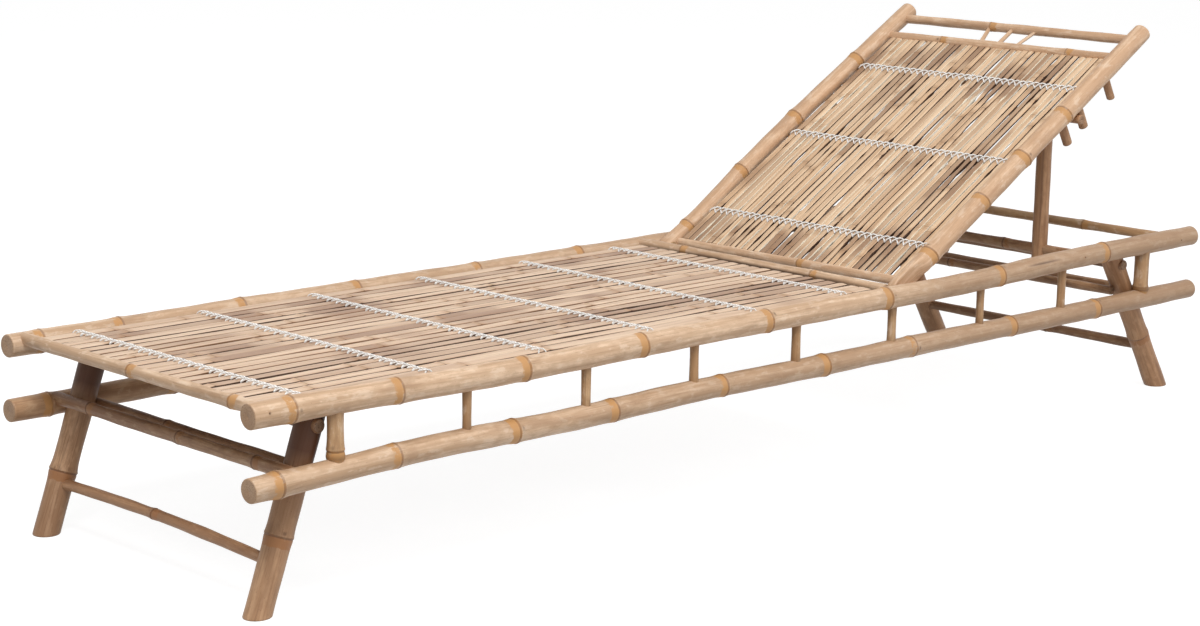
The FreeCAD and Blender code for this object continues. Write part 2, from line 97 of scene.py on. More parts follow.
# Bamboo nodes: along the rails from the foot end, along the backrest's rails from the hinge,
# up the legs and posts from their feet, and as Y across the lounger
RAIL_NODES = {
    "side_rail_near": (0.063, 0.234, 0.453, 0.676, 0.935, 1.208, 1.493, 1.781),
    "side_rail_far": (0.050, 0.179, 0.391, 0.607, 0.851, 1.075, 1.370, 1.620, 1.840),
    "lower_rail_near": (0.042, 0.230, 0.435, 0.620, 0.841, 1.065, 1.272, 1.530, 1.764),
    "lower_rail_far": (0.060, 0.268, 0.480, 0.700, 0.905, 1.110, 1.340, 1.590, 1.820),
}
BACK_RAIL_NODES = {
    "back_rail_near": (0.086, 0.233, 0.352, 0.478),
    "back_rail_far": (0.055, 0.211, 0.371, 0.557),
}
CROSS_NODES = {
    "foot_cross_rail": (-0.214, 0.008),
    "seat_end_rail": (-0.120, 0.165),
    "prop_pivot_bar": (-0.123, 0.140),
    "head_cross_rail": (-0.085, 0.150),
    "foot_leg_axle": (),
    "head_leg_axle": (),
    "foot_lower_bar_outer": (-0.195, -0.029, 0.180),
    "foot_lower_bar_inner": (0.070,),
    "head_lower_bar_outer": (-0.060,),
    "head_lower_bar_inner": (0.110,),
    "foot_stretcher": (0.013,),
    "head_stretcher": (-0.040,),
}
BACK_ROD_NODES = {"bottom_rod": (-0.032,), "upper_rod": (-0.150, 0.120), "headrest_rod": (0.047,)}
PROP_ROD_NODES = {"prop_rod": (0.060,)}
LEG_NODES = {
    "foot_leg_near": (0.105,),
    "foot_leg_far": (0.090,),
    "head_leg_near": (0.120,),
    "head_leg_far": (0.165,),
}
POST_NODES = {
    "foot_post_near": (0.018,),
    "foot_post_far": (),
    "head_post_near": (0.013,),
    "head_post_far": (0.016,),
}
# Rods whose solids have no raised rings, so that their boxes give the plain radius
RINGLESS = ("seat_end_rail", "prop_pivot_bar", "foot_leg_axle", "head_leg_axle", "prop_rod")
NAILED_RODS = ("foot_cross_rail", "seat_end_rail", "prop_pivot_bar", "head_cross_rail")
# Natural bends of the long poles, as humps with a place along the pole, a reach and a height
HUMPS = {
    "side_rail_near": ((0.45, 0.28, -0.0065), (1.00, 0.35, -0.0055), (1.40, 0.22, -0.0060)),
    "side_rail_far": ((0.00, 0.45, -0.0040), (0.90, 0.50, -0.0030)),
    "lower_rail_near": ((0.30, 0.20, 0.0070), (0.78, 0.24, 0.0060), (1.25, 0.30, 0.0035)),
    "back_rail_far": ((0.42, 0.28, 0.0040), (0.10, 0.10, -0.0065)),
}
# How far a rod arches up, and how much lower its near and its far end sit
BOWS = {"foot_stretcher": 0.0053, "prop_pivot_bar": 0.001}
END_DROPS = {"foot_stretcher": (0.0042, 0.0012), "bottom_rod": (0.0025, 0.0060)}
# How much darker a pole is at places along it; at the tops of the foot legs, under the rails, this is painted
# shade with some stain
DARKENING_ALONG = {
    "side_rail_near": ((0.0, 0.05), (1.15, 0.0), (1.35, 0.50), (2.05, 0.60)),
    "side_rail_far": ((0.0, 0.12), (2.05, 0.30)),
    "lower_rail_near": ((0.0, 0.15), (0.50, 0.15), (0.80, 0.38), (1.30, 0.42), (2.05, 0.75)),
    # The steep rise at each foot leg's top is painted shade under the rails, with some stain
    "foot_leg_near": ((0.06, 0.0), (0.14, 0.25), (0.185, 0.30), (0.215, 0.95)),
    "foot_leg_far": ((0.0, 0.30), (0.06, 0.25), (0.10, 0.0), (0.185, 0.05), (0.215, 0.95)),
}
UNDARKENED = ((0.0, 0.0), (1.0, 0.0))
# How brown an upright is by its place along the rails
UPRIGHT_DARKENING = ((1.30, 0.0), (1.50, 0.20))
# Long scars: a dark seam along the seat's end rail, which is painted shade where the slats meet it, a crack,
# and two grooves down each post of the prop
SHADE_SEAM = dict(place=0.260, angle=-1.75, length=0.560, width=0.0030, depth=0.0008, dark=1.0)
CRACK = dict(place=1.600, angle=1.05, length=0.095, width=0.0020, depth=0.0012, dark=0.85)
GROOVE = dict(place=0.12, angle=0.5, length=0.22, width=0.0016, depth=0.0008, dark=0.55)
GROOVES = (GROOVE, dict(GROOVE, angle=2.0))
SCARS = {
    "side_rail_near": (CRACK,), "seat_end_rail": (SHADE_SEAM,), "prop_post_near": GROOVES, "prop_post_far": GROOVES,
}

# Natural shapes of the poles
POLE_SIDES = 48
THIN_SIDES = 28
THIN_POLE = 0.012
RING_STEP = 0.015
LEAST_STEP = 0.0003
SCAR_RINGS = 16
NODE_RINGS = (0.0005, 0.0012, 0.002, 0.003, 0.0045, 0.0065, 0.009, 0.011, 0.013, 0.0155, 0.018)
END_RINGS = (0.0004, 0.0010, 0.0018, 0.003, 0.006)
END_ROUNDING = 0.0022
END_ROUND_LIMIT = 0.98
END_ROUND_SHARE = 0.8
NEARLY_UPRIGHT = 0.9
# The swelling, ridge and groove of a node, each with a place, a reach and a height
NODE_BELLS = ((0.0, 0.010, 0.0011), (0.0018, 0.0015, 0.0005), (-0.0012, 0.0010, -0.0005))
NODE_STRENGTHS = (0.7, 1.25)
THIN_EXTRA = 0.15
BUD = dict(place=0.005, reach=0.0045, width=0.0048, rise=0.0012)
BUD_TURN = (0.9, 0.45)
EYE_PLACE = 0.0055
EYE_REACH = 0.0022
MARK_STRENGTHS = (0.3, 1.0)
GOLD_PLACE = 0.0065
GOLD_REACH = 0.0088
GOLD_STRENGTHS = (0.40, 1.1)
GROOVE_DEPTH = 0.0006
GROOVE_FADE = 0.09
GROOVE_WIDTH = 0.42
WAVE_HEIGHT = 0.0004
WAVE_LENGTHS = (0.31, 0.17, 0.083)
WAVE_PHASES = (0, 6.28)
FLARE_PLACE = 0.0095
FLARE_REACH = 0.004
POST_FLARE = 0.0014
JOINT_DARK = 0.75
LEVEL_RUN = 0.060
POLE_TONE = (0.45, 0.28)
GRAIN_SHIFT = 9
CUT_EDGE = 0.0007
CUT_EDGE_SHARE = 0.8
CAP_RINGS = ((0.86, 0.0), (0.5, 0.0001), (0.14, 0.0003))
CAP_MARKS = dict(rim=0.35, pith_ring=0.25, pith=0.9)
PITH_DEPTH = 0.0012
NAIL_SIDES = 16
NAIL_RINGS = ((0.0016, -0.0012), (0.0018, 0.0001), (0.0016, 0.0006), (0.0009, 0.0009))
NAIL_TOP = 0.0010
NAIL_FOOT = -0.0012

# The two rows of split slats: their places, gaps, nodes and stains, and the cords that tie them
SEAT = dict(
    name="seat", body="frame", start=0.022, end=1.215, trims=(0.006, 0.015), underside=0.001,
    thickness=0.005, count=22, rows=(0.098, 0.306, 0.506, 0.716, 0.932, 1.134), width=0.0032,
    wander=0.0008, opening=0.0020, slits=3, dashes=(), nodes=(0.060, 0.300, 0.560, 0.800, 1.060),
    sway=0.070, period=9.0, stains=20, cord=0.0011, reach=0.0072, crossings=2, slat_seed=200,
    batten_seed=300, chain_seeds=(400, 10), tie_seeds=(500, 30),
)
BACK = dict(
    name="back", body="backrest", start=0.018, end=0.646, trims=(0.004, 0.004), underside=-0.004,
    thickness=0.0045, count=35, rows=(0.104, 0.336, 0.546), width=0.0019, wander=0.0008,
    opening=0.0012, slits=2, dashes=(0.045, 0.090, 0.285, 0.322, 0.470, 0.532),
    nodes=(0.070, 0.290, 0.480, 0.600), sway=0.062, period=11.0, stains=22, cord=0.0013,
    reach=0.0068, crossings=1, slat_seed=700, batten_seed=320, chain_seeds=(800, 10),
    tie_seeds=(900, 40),
)
LEAST_GAP = 0.0006
GAP_WAVES = (0.10, 0.42)
GAP_WIDTHS = (0.35, 1.55)
GAP_SWING = 0.6
ROW_OPENING = dict(before=0.008, widths=(0.1, 1.0), reach=0.007)
# Dashes: short wider stretches of a gap, closed below, where the sides' painted shade shows as a dark dash
DASH = dict(chance=0.62, jitter=0.007, width=0.0030, reach=0.0085, reaches=(0.6, 1.4), closed=1.4)
SLIT = dict(chance=0.55, width=0.0042, widths=(0.4, 1.0), reach=0.018, reaches=(0.5, 1.5))
SLAT_PROFILE = (
    (-1.0, 0.42), (-0.98, 0.76), (-0.91, 0.88), (-0.6, 0.96), (-0.3, 0.99), (0.0, 1.0),
    (0.3, 0.99), (0.6, 0.96), (0.91, 0.88), (0.98, 0.76), (1.0, 0.42), (0.8, 0.08),
    (0.0, 0.0), (-0.8, 0.08),
)
SLAT_UNDER = 0.1
# A slat's side walls, below this share of its thickness, take the painted shade of the gaps
SLAT_SIDE = 0.8
SLAT_RIDGES = ((0.0016, 0.0005), (0.006, 0.0004))
SLAT_LIFT = 0.0003
SLAT_WAVES = (0.2, 0.5)
SLAT_TILT = 0.00022
SLAT_TONE = (0.14, 0.10)
TONE_STEP = 0.24
TONE_EDGE = 0.0012
PALE_CHANCE = 0.35
STEP_LIMIT = 40
STRIP_NODES = dict(turn=2.1, jitter=0.006, margin=0.01)
STAIN = dict(
    slats=(1.0, 3.2), reach=(0.02, 0.07), jitter=0.012, reaches=(0.6, 1.2), strengths=(0.35, 0.8), edge=0.004
)

# Cords
CORD_SIDES = 8
TIE_SIDES = 6
TIE_STEPS = 18
TIE_TURN = math.radians(125)
TWIST_PITCH = 0.0042
CHAIN_STEPS = 10
CHAIN_JITTER = 0.0005
CHAIN_OVERHANG = 0.002
CHAIN_REST = 0.7
CHAIN_POINT = 0.98
CROSS_POWER = 0.6
DIP = dict(depth=0.0024, reach=0.0018)
TUCK = dict(depth=0.006, reach=0.004)

# The first seed of each group's random draws
SEEDS = dict(
    rails=11, cross_rods=31, posts=51, spindles={"near": 61, "far": 71}, legs=81, back_rails=101,
    back_rods=111, sticks=121, pegs={"near": 126, "far": 136}, prop_rod=141, prop_posts=142, nails=151,
)

# Colours as they look, from 0 to 255, and how strongly a pole is stained
RAIL_SKIN = dict(
    light=(226, 196, 166), dark=(194, 160, 128), pale=(238, 216, 192), stain=(150, 116, 86),
    gold=(192, 142, 88), ring=(112, 74, 44), end=(176, 144, 114), dark_mark=(62, 38, 24), stained=0.50,
)
PROP_SKIN = dict(
    RAIL_SKIN, light=(194, 150, 112), dark=(164, 122, 88), pale=(206, 166, 130), stain=(112, 76, 50),
    gold=(160, 110, 70), ring=(74, 46, 28), end=(160, 124, 94), stained=0.55,
)
POLE_SKINS = {
    "rail": RAIL_SKIN,
    "back_rail": dict(RAIL_SKIN, light=(225, 192, 160), dark=(198, 160, 126), stain=(158, 118, 86)),
    "shaded_rail": dict(RAIL_SKIN, light=(200, 162, 126), dark=(168, 128, 94), pale=(212, 180, 146)),
    "prop": PROP_SKIN,
    # The foot legs' very dark stain colour also paints the shade at their tops, under the rails
    "foot_leg": dict(
        PROP_SKIN, light=(204, 164, 128), dark=(172, 132, 98), stain=(80, 44, 22), stained=0.35
    ),
    "post": dict(RAIL_SKIN, light=(210, 174, 134), dark=(178, 138, 98), stain=(126, 92, 64)),
    "under": dict(
        RAIL_SKIN, light=(172, 134, 100), dark=(136, 98, 68), pale=(194, 162, 130), stain=(84, 56, 36),
        gold=(150, 104, 62), ring=(58, 36, 22), end=(150, 120, 94), stained=0.60,
    ),
}
# The slats' split sides: 'side' is painted shade for the gaps between slats, and also darkens the line at
# each node; 'pale' is the side of some slats: a lighter painted shade on the seat, and on the backrest cream
# split flesh brightened to near white as a painted highlight
SLAT_SKINS = {
    "seat": dict(
        light=(230, 204, 178), dark=(206, 174, 146), patch=(156, 124, 102), knot=(176, 132, 92),
        side=(70, 44, 28), pale=(120, 84, 56),
    ),
    "back": dict(
        light=(238, 208, 174), dark=(210, 172, 134), patch=(146, 112, 86), knot=(160, 120, 84),
        side=(62, 38, 22), pale=(250, 240, 220),
    ),
}

VALUES = ("node", "gold", "mark", "tone", "cut", "edge", "pale", "twist", "age")
HINGE = Vector(next(j for j in frame["joints"] if j["name"] == "backrest_hinge")["pos_m"])


def srgb(red, green, blue):
    """A colour given as it looks, in 0 to 255, as Blender's linear colour."""
    linear = []
    for value in (red, green, blue):
        share = value / 255
        linear.append(share / 12.92 if share <= 0.04045 else ((share + 0.055) / 1.055) ** 2.4)
    return (*linear, 1.0)


def linear_skin(skin):
    """A skin with its colours made linear."""
    return {name: srgb(*value) if isinstance(value, tuple) else value for name, value in skin.items()}


def add_object(name, data):
    """Put a mesh, a lamp or a camera into the scene."""
    thing = bpy.data.objects.new(name, data)
    bpy.context.scene.collection.objects.link(thing)
    return thing


class Graph:
    """The nodes of a material or of the world, with a short call for each kind used here."""

    def __init__(self, owner, output="OutputMaterial"):
        owner.use_nodes = True
        self.owner = owner
        self.tree = owner.node_tree
        self.tree.nodes.clear()
        self.output = self.node(output)

    def link(self, value, socket):
        """Join an output to a socket, or set the socket to a plain value."""
        if isinstance(value, bpy.types.NodeSocket):
            self.tree.links.new(value, socket)
        else:
            socket.default_value = value

    def node(self, kind, inputs=(), **settings):
        """Add a node with its settings, and join or set its inputs."""
        node = self.tree.nodes.new("ShaderNode" + kind)
        for name, value in settings.items():
            setattr(node, name, value)
        for name, value in dict(inputs).items():
            self.link(value, node.inputs[name])
        return node

    def attribute(self, name, kind="Fac"):
        """A value that the mesh carries."""
        return self.node("Attribute", attribute_name=name).outputs[kind]

    def math(self, operation, first, second):
        """One step of arithmetic."""
        return self.node("Math", {0: first, 1: second}, operation=operation).outputs[0]

    def plus(self, first, second):
        """The sum of two values."""
        return self.math("ADD", first, second)

    def times(self, first, second):
        """The product of two values."""
        return self.math("MULTIPLY", first, second)

    def swing(self, noise, strength):
        """Noise that swings about 0, by a strength."""
        return self.times(self.math("SUBTRACT", noise, 0.5), strength)

    def texture(self, kind, vector, scale, **inputs):
        """The outputs of a texture over a vector whose axes are each scaled by their own amount."""
        place = self.node("Mapping", {"Vector": vector, "Scale": scale}).outputs[0]
        return self.node(kind, {"Vector": place, "Scale": 1.0, **inputs}).outputs

    def noise(self, vector, scale, detail=3.0, roughness=0.55):
        """Soft noise from 0 to 1."""
        return self.texture("TexNoise", vector, scale, Detail=detail, Roughness=roughness)["Fac"]

    def cells(self, vector, scale):
        """Distance to the nearest of scattered points."""
        return self.texture("TexVoronoi", vector, scale)["Distance"]

    def band(self, value, low, high):
        """0 at low and below, 1 at high and above, smooth between; low may be the larger."""
        falls = float(low > high)
        inputs = {
            "Value": value, "From Min": min(low, high), "From Max": max(low, high),
            "To Min": falls, "To Max": 1.0 - falls,
        }
        return self.node("MapRange", inputs, interpolation_type="SMOOTHSTEP").outputs[0]

    def mix(self, share, first, second):
        """A colour between two colours."""
        return self.node("Mix", {0: share, 6: first, 7: second}, data_type="RGBA").outputs[2]

    def layered(self, colour, skin, layers):
        """Tint a colour with a skin's colours in turn, each by a mask times a strength."""
        for mask, strength, name in layers:
            colour = self.mix(self.times(mask, strength), colour, skin[name])
        return colour

    def bump(self, height, strength, distance):
        """A normal that follows a height."""
        inputs = {"Height": height, "Strength": strength, "Distance": distance}
        return self.node("Bump", inputs).outputs[0]

    def seen(self):
        """1 for rays from the camera, from a reflection or through glass, and 0 for all others."""
        rays = self.node("LightPath").outputs
        direct = self.math("MAXIMUM", rays["Is Camera Ray"], rays["Is Glossy Ray"])
        return self.math("MAXIMUM", direct, rays["Is Transmission Ray"])

    def end_in(self, shader):
        """Join a shader to the output."""
        self.link(shader.outputs[0], self.output.inputs[0])

    def finish(self, colour, roughness, normal, specular=0.4):
        """The surface shader, joined to the material's output."""
        inputs = {
            "Base Color": colour, "Roughness": roughness, "Normal": normal, "Specular IOR Level": specular,
        }
        self.end_in(self.node("BsdfPrincipled", inputs))
        return self.owner


def pole_colour(graph, grain, clouds, skin):
    """Streaks, fibres, blotches and specks along a pole."""
    fibres = graph.noise(grain, (14.0, 520.0, 520.0), 4.0, 0.65)
    streaks = graph.noise(grain, (3.2, 110.0, 110.0))
    blotches = graph.noise(grain, (42.0, 95.0, 95.0), 4.0, 0.6)
    specks = graph.cells(grain, (150.0, 330.0, 330.0))
    colour = graph.mix(graph.band(streaks, 0.34, 0.64), skin["light"], skin["dark"])
    colour = graph.layered(colour, skin, (
        (graph.band(blotches, 0.47, 0.62), 0.55, "dark"),
        (graph.band(blotches, 0.46, 0.34), 0.45, "pale"),
        (graph.band(fibres, 0.50, 0.72), 0.45, "stain"),
        (graph.band(clouds, 0.50, 0.68), skin["stained"], "stain"),
        (graph.attribute("tone"), 0.30, "dark"),
        # Darkening along the pole: at the foot legs' tops it is painted shade, with some stain
        (graph.attribute("age"), 1.0, "stain"),
        (graph.band(specks, 0.13, 0.04), 0.60, "ring"),
    ))
    return colour, fibres, streaks


def node_colour(graph, grain, colour, clouds, skin):
    """Ragged golden bands that end at the rings, and dark marks: eyes, joints, scars, and the painted shade
    of the seat end rail's seam.
    """
    nearness = graph.attribute("gold")
    tatter = graph.noise(grain, (150.0, 150.0, 150.0), 4.0, 0.65)
    ragged = graph.plus(graph.plus(nearness, graph.swing(tatter, 2.2)), graph.swing(clouds, 1.2))
    gold = graph.times(graph.band(ragged, 0.12, 0.50), graph.band(nearness, 0.02, 0.20))
    ring = graph.band(graph.attribute("node"), 0.0022, 0.0007)
    # The dark marks hold the buds' eyes, dark joints and scars, and the seam's painted shade
    return graph.layered(colour, skin, (
        (gold, 0.90, "gold"), (ring, 0.50, "ring"), (graph.attribute("mark"), 0.90, "dark_mark"),
    ))


def end_colour(graph, grain, clouds, skin):
    """A cut end: greyish wood full of small pores."""
    pores = graph.cells(grain, (1.0, 620.0, 620.0))
    colour = graph.mix(graph.band(pores, 0.40, 0.15), skin["end"], skin["ring"])
    return graph.layered(colour, skin, ((graph.band(clouds, 0.42, 0.66), 0.6, "stain"),))


def pole_material(name, skin):
    """Round bamboo: long fibres, soft stains, golden nodes and grey cut ends."""
    graph = Graph(bpy.data.materials.new(name))
    grain = graph.attribute("grain", "Vector")
    clouds = graph.noise(grain, (9.0, 42.0, 42.0), 5.0, 0.62)
    colour, fibres, streaks = pole_colour(graph, grain, clouds, skin)
    colour = node_colour(graph, grain, colour, clouds, skin)
    colour = graph.mix(graph.attribute("cut"), colour, end_colour(graph, grain, clouds, skin))
    roughness = graph.plus(graph.times(fibres, 0.30), 0.36)
    height = graph.plus(graph.times(fibres, 0.6), graph.times(streaks, 0.4))
    return graph.finish(colour, roughness, graph.bump(height, 0.45, 0.0007))


def slat_material(name, skin):
    """Split bamboo: fine fibres, patches round the nodes, and split sides painted as the shade in the gaps,
    lighter on some slats, up to a near-white painted highlight on the backrest.
    """
    graph = Graph(bpy.data.materials.new(name))
    grain = graph.attribute("grain", "Vector")
    node = graph.attribute("node")
    fibres = graph.noise(grain, (8.0, 800.0, 200.0), 4.0, 0.62)
    streaks = graph.noise(grain, (3.0, 240.0, 60.0))
    clouds = graph.noise(grain, (10.0, 26.0, 26.0), 5.0, 0.6)
    ragged = graph.plus(node, graph.times(clouds, 0.010))
    colour = graph.mix(graph.band(streaks, 0.34, 0.68), skin["light"], skin["dark"])
    colour = graph.layered(colour, skin, (
        (graph.attribute("tone"), 0.85, "patch"),
        (graph.band(fibres, 0.48, 0.76), 0.45, "patch"),
        (graph.band(ragged, 0.018, 0.009), 0.35, "knot"),
        (graph.band(node, 0.0016, 0.0006), 0.25, "side"),
    ))
    # The split sides are painted shade for the gaps; on the pale slats they are lighter, a near-white painted
    # highlight on the backrest
    side = graph.mix(graph.attribute("pale"), skin["side"], skin["pale"])
    colour = graph.mix(graph.attribute("edge"), colour, side)
    roughness = graph.plus(graph.times(fibres, 0.28), 0.42)
    return graph.finish(colour, roughness, graph.bump(fibres, 0.50, 0.0006))


def cord_material():
    """Twisted off-white cord, grey in between the plies as painted shade, with a little dirt."""
    graph = Graph(bpy.data.materials.new("lashing_cord"))
    dirt = graph.noise(graph.attribute("grain", "Vector"), (40.0, 300.0, 300.0))
    plies = graph.band(graph.attribute("twist"), -0.9, 0.3)
    skin = linear_skin({"groove_shade": (206, 198, 190), "high": (250, 249, 247), "dirt": (206, 196, 188)})
    # The grooves between the plies are painted darker, as shade
    colour = graph.mix(plies, skin["groove_shade"], skin["high"])
    colour = graph.layered(colour, skin, ((graph.band(dirt, 0.50, 0.76), 0.30, "dirt"),))
    height = graph.plus(graph.times(plies, 0.7), graph.times(dirt, 0.3))
    return graph.finish(colour, 0.85, graph.bump(height, 0.8, 0.0006), specular=0.15)


def nail_material():
    """Dull iron with rust."""
    graph = Graph(bpy.data.materials.new("nail_iron"))
    rust = graph.noise(graph.attribute("grain", "Vector"), (700.0, 700.0, 700.0))
    colour = graph.mix(graph.band(rust, 0.42, 0.62), srgb(150, 124, 100), srgb(166, 130, 96))
    return graph.finish(colour, 0.55, graph.bump(rust, 0.4, 0.0002))


def dowel_material():
    """Plain turned wood for the hinge pins, which carry no grain of their own."""
    graph = Graph(bpy.data.materials.new("dowel_wood"))
    fibres = graph.noise(graph.node("TexCoord").outputs["Object"], (500.0, 30.0, 500.0), 4.0)
    colour = graph.mix(graph.band(fibres, 0.35, 0.68), srgb(196, 162, 122), srgb(142, 106, 74))
    return graph.finish(colour, 0.6, graph.bump(fibres, 0.3, 0.0004))


def make_skins():
    """Every material of the pieces that scene.py makes."""
    skins = {name: pole_material(name + "_skin", linear_skin(skin)) for name, skin in POLE_SKINS.items()}
    for name, skin in SLAT_SKINS.items():
        skins[name] = slat_material(name + "_skin", linear_skin(skin))
    skins["cord"] = cord_material()
    skins["nail"] = nail_material()
    return skins


class Shape:
    """Points and faces, with the values that the materials read from them."""

    def __init__(self):
        self.points = []
        self.faces = []
        self.grain = []
        self.values = {name: [] for name in VALUES}
        self.count = 0

    def add(self, points, faces, grain, **values):
        """Add points, faces numbered from 0, and their values."""
        self.points.append(np.asarray(points, float))
        self.grain.append(np.asarray(grain, float))
        self.faces.extend([tuple(index + self.count for index in face) for face in faces])
        for name in VALUES:
            given = np.ravel(values.get(name, 0.0))
            self.values[name].append(np.broadcast_to(given, (len(points),)).astype(float))
        self.count += len(points)

    def build(self, name, material, body, slot, node):
        """Make the piece, and let it ride in the place of its CAD node."""
        mesh = bpy.data.meshes.new(name)
        mesh.from_pydata(np.concatenate(self.points).tolist(), [], self.faces)
        mesh.polygons.foreach_set("use_smooth", [True] * len(mesh.polygons))
        grain = mesh.attributes.new("grain", "FLOAT_VECTOR", "POINT")
        grain.data.foreach_set("vector", np.concatenate(self.grain).astype(np.float32).ravel())
        for value_name, parts in self.values.items():
            layer = mesh.attributes.new(value_name, "FLOAT", "POINT")
            layer.data.foreach_set("value", np.concatenate(parts).astype(np.float32))
        mesh.materials.append(material)
        mesh.update()
        piece = add_object(name, mesh)
        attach(piece, body)
        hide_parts(node)


def grid_faces(rows, columns):
    """Quads over a grid of points whose columns close on themselves."""
    faces = []
    for row in range(rows - 1):
        low = row * columns
        high = low + columns
        for column in range(columns):
            following = (column + 1) % columns
            faces.append((low + column, low + following, high + following, high + column))
    return faces


def fan(first, sides, tip):
    """Triangles from a ring of points to one point."""
    return [(first + index, first + (index + 1) % sides, tip) for index in range(sides)]


def flipped(faces):
    """Faces turned to look the other way."""
    return [tuple(reversed(face)) for face in faces]


def closed_faces(rows, columns):
    """Quads over a grid, turned over, with one face over each end."""
    ends = [tuple(range(columns)), tuple(reversed(range((rows - 1) * columns, rows * columns)))]
    return flipped(grid_faces(rows, columns)) + ends


def bell(away, reach):
    """1 at no distance, and falling smoothly to 0 past a reach."""
    return np.exp(-((away / reach) ** 2))


def ring_places(length, nodes, scars=()):
    """Places of the rings along a pole, closer together at nodes, scars and ends."""
    places = list(np.linspace(0, length, max(3, int(length / RING_STEP))))
    for node in nodes:
        places.append(node)
        for step in NODE_RINGS:
            places += [node - step, node + step]
    for scar in scars:
        half = scar["length"] / 2
        places += list(np.linspace(scar["place"] - half, scar["place"] + half, SCAR_RINGS))
    for step in END_RINGS:
        places += [step, length - step]
    places = np.unique(np.round([place for place in places if 0 <= place <= length], 5))
    keep = [places[0]]
    for place in places[1:-1]:
        if min(place - keep[-1], length - place) > LEAST_STEP:
            keep.append(place)
    return np.array(keep + [places[-1]])


def around(angle, centre):
    """The smallest turn from a centre, in radians."""
    return (angle - centre + math.pi) % math.tau - math.pi


def node_forms(places, angle, radius, nodes, draw):
    """Height, dark marks, distance to a node and golden bands over a pole's surface."""
    height = np.zeros_like(places)
    mark = np.zeros_like(places)
    nearest = np.full_like(places, 1.0)
    gold = np.zeros_like(places)
    size = min(1.0, radius / TOP_RAIL_RADIUS + THIN_EXTRA)
    for index, node in enumerate(nodes):
        away = places - node
        strength = draw.uniform(*NODE_STRENGTHS) * size
        for shift, reach, rise in NODE_BELLS:
            height += rise * strength * bell(away - shift, reach)
        turned = around(angle, index * math.pi + draw.normal(*BUD_TURN))
        across = turned * radius
        bud = bell(away - BUD["place"], BUD["reach"]) * bell(across, BUD["width"])
        height += BUD["rise"] * size * bud
        dark_mark = bell(away - EYE_PLACE, EYE_REACH) * bell(across, EYE_REACH)
        mark = np.maximum(mark, dark_mark * draw.uniform(*MARK_STRENGTHS))
        fade = np.where(away > 0, np.exp(-away / GROOVE_FADE), 0.0)
        height -= GROOVE_DEPTH * size * fade * bell(turned, GROOVE_WIDTH)
        share = np.clip(np.abs(away + GOLD_PLACE) / GOLD_REACH, 0, 1)
        gold = np.maximum(gold, draw.uniform(*GOLD_STRENGTHS) * (1 - share ** 2))
        nearest = np.minimum(nearest, np.abs(away))
    return height, mark, nearest, gold


def waves(places, angle, draw):
    """Slow changes of the radius along and round a pole."""
    height = np.zeros_like(places)
    for length in WAVE_LENGTHS:
        height += WAVE_HEIGHT * np.sin(math.tau * places / length + draw.uniform(*WAVE_PHASES)) / 2
    return height + WAVE_HEIGHT * np.cos(2 * angle + draw.uniform(*WAVE_PHASES))


def pole_axes(start, end):
    """The directions along a pole, to its side and up."""
    along = (end - start).normalized()
    guide = Vector((0, 0, 1) if abs(along.z) < NEARLY_UPRIGHT else (-1, 0, 0))
    up = (guide - along * along.dot(guide)).normalized()
    return np.array(along), np.array(along.cross(up)), np.array(up)


def level_shift(places, length, along, radial):
    """How far points slide along a leaning pole so that both its ends are level."""
    slide = -radial[..., 2] / along[2]
    start_share = np.clip(1 - places / LEVEL_RUN, 0, 1) ** 2
    end_share = np.clip(1 - (length - places) / LEVEL_RUN, 0, 1) ** 2
    return slide * (start_share + end_share)


def scarred(places, angle, radius, reach, mark, scars):
    """Cut long cracks and grooves into a pole's surface, and darken them; the seam's dark is painted shade.
    """
    for scar in scars:
        across = around(angle, scar["angle"]) * radius / scar["width"]
        share = (places - scar["place"]) / (scar["length"] / 2)
        groove = np.exp(-across ** 2) * np.clip(1 - share ** 2, 0, 1)
        reach = reach - scar["depth"] * groove
        mark = np.maximum(mark, groove * scar["dark"])
    return reach, mark


def end_rounding(places, length):
    """How much a pole's radius shrinks at its softened ends."""
    inset = np.clip(1 - np.minimum(places, length - places) / END_ROUNDING, 0, 1)
    return END_ROUNDING * (1 - np.sqrt(1 - inset ** 2 * END_ROUND_LIMIT)) * END_ROUND_SHARE


def flared(places, length):
    """1 where an upright meets a rail, and 0 away from it."""
    return bell(np.minimum(places, length - places) - FLARE_PLACE, FLARE_REACH)


def lift_at(name, place):
    """How far a long pole bends up, or down where it is negative, at a place along it."""
    return sum(height * bell(place - middle, reach) for middle, reach, height in HUMPS.get(name, ()))


def darkening_at(darkenings, place):
    """How brown a pole is at a place along it."""
    return np.interp(place, *np.array(darkenings).T)


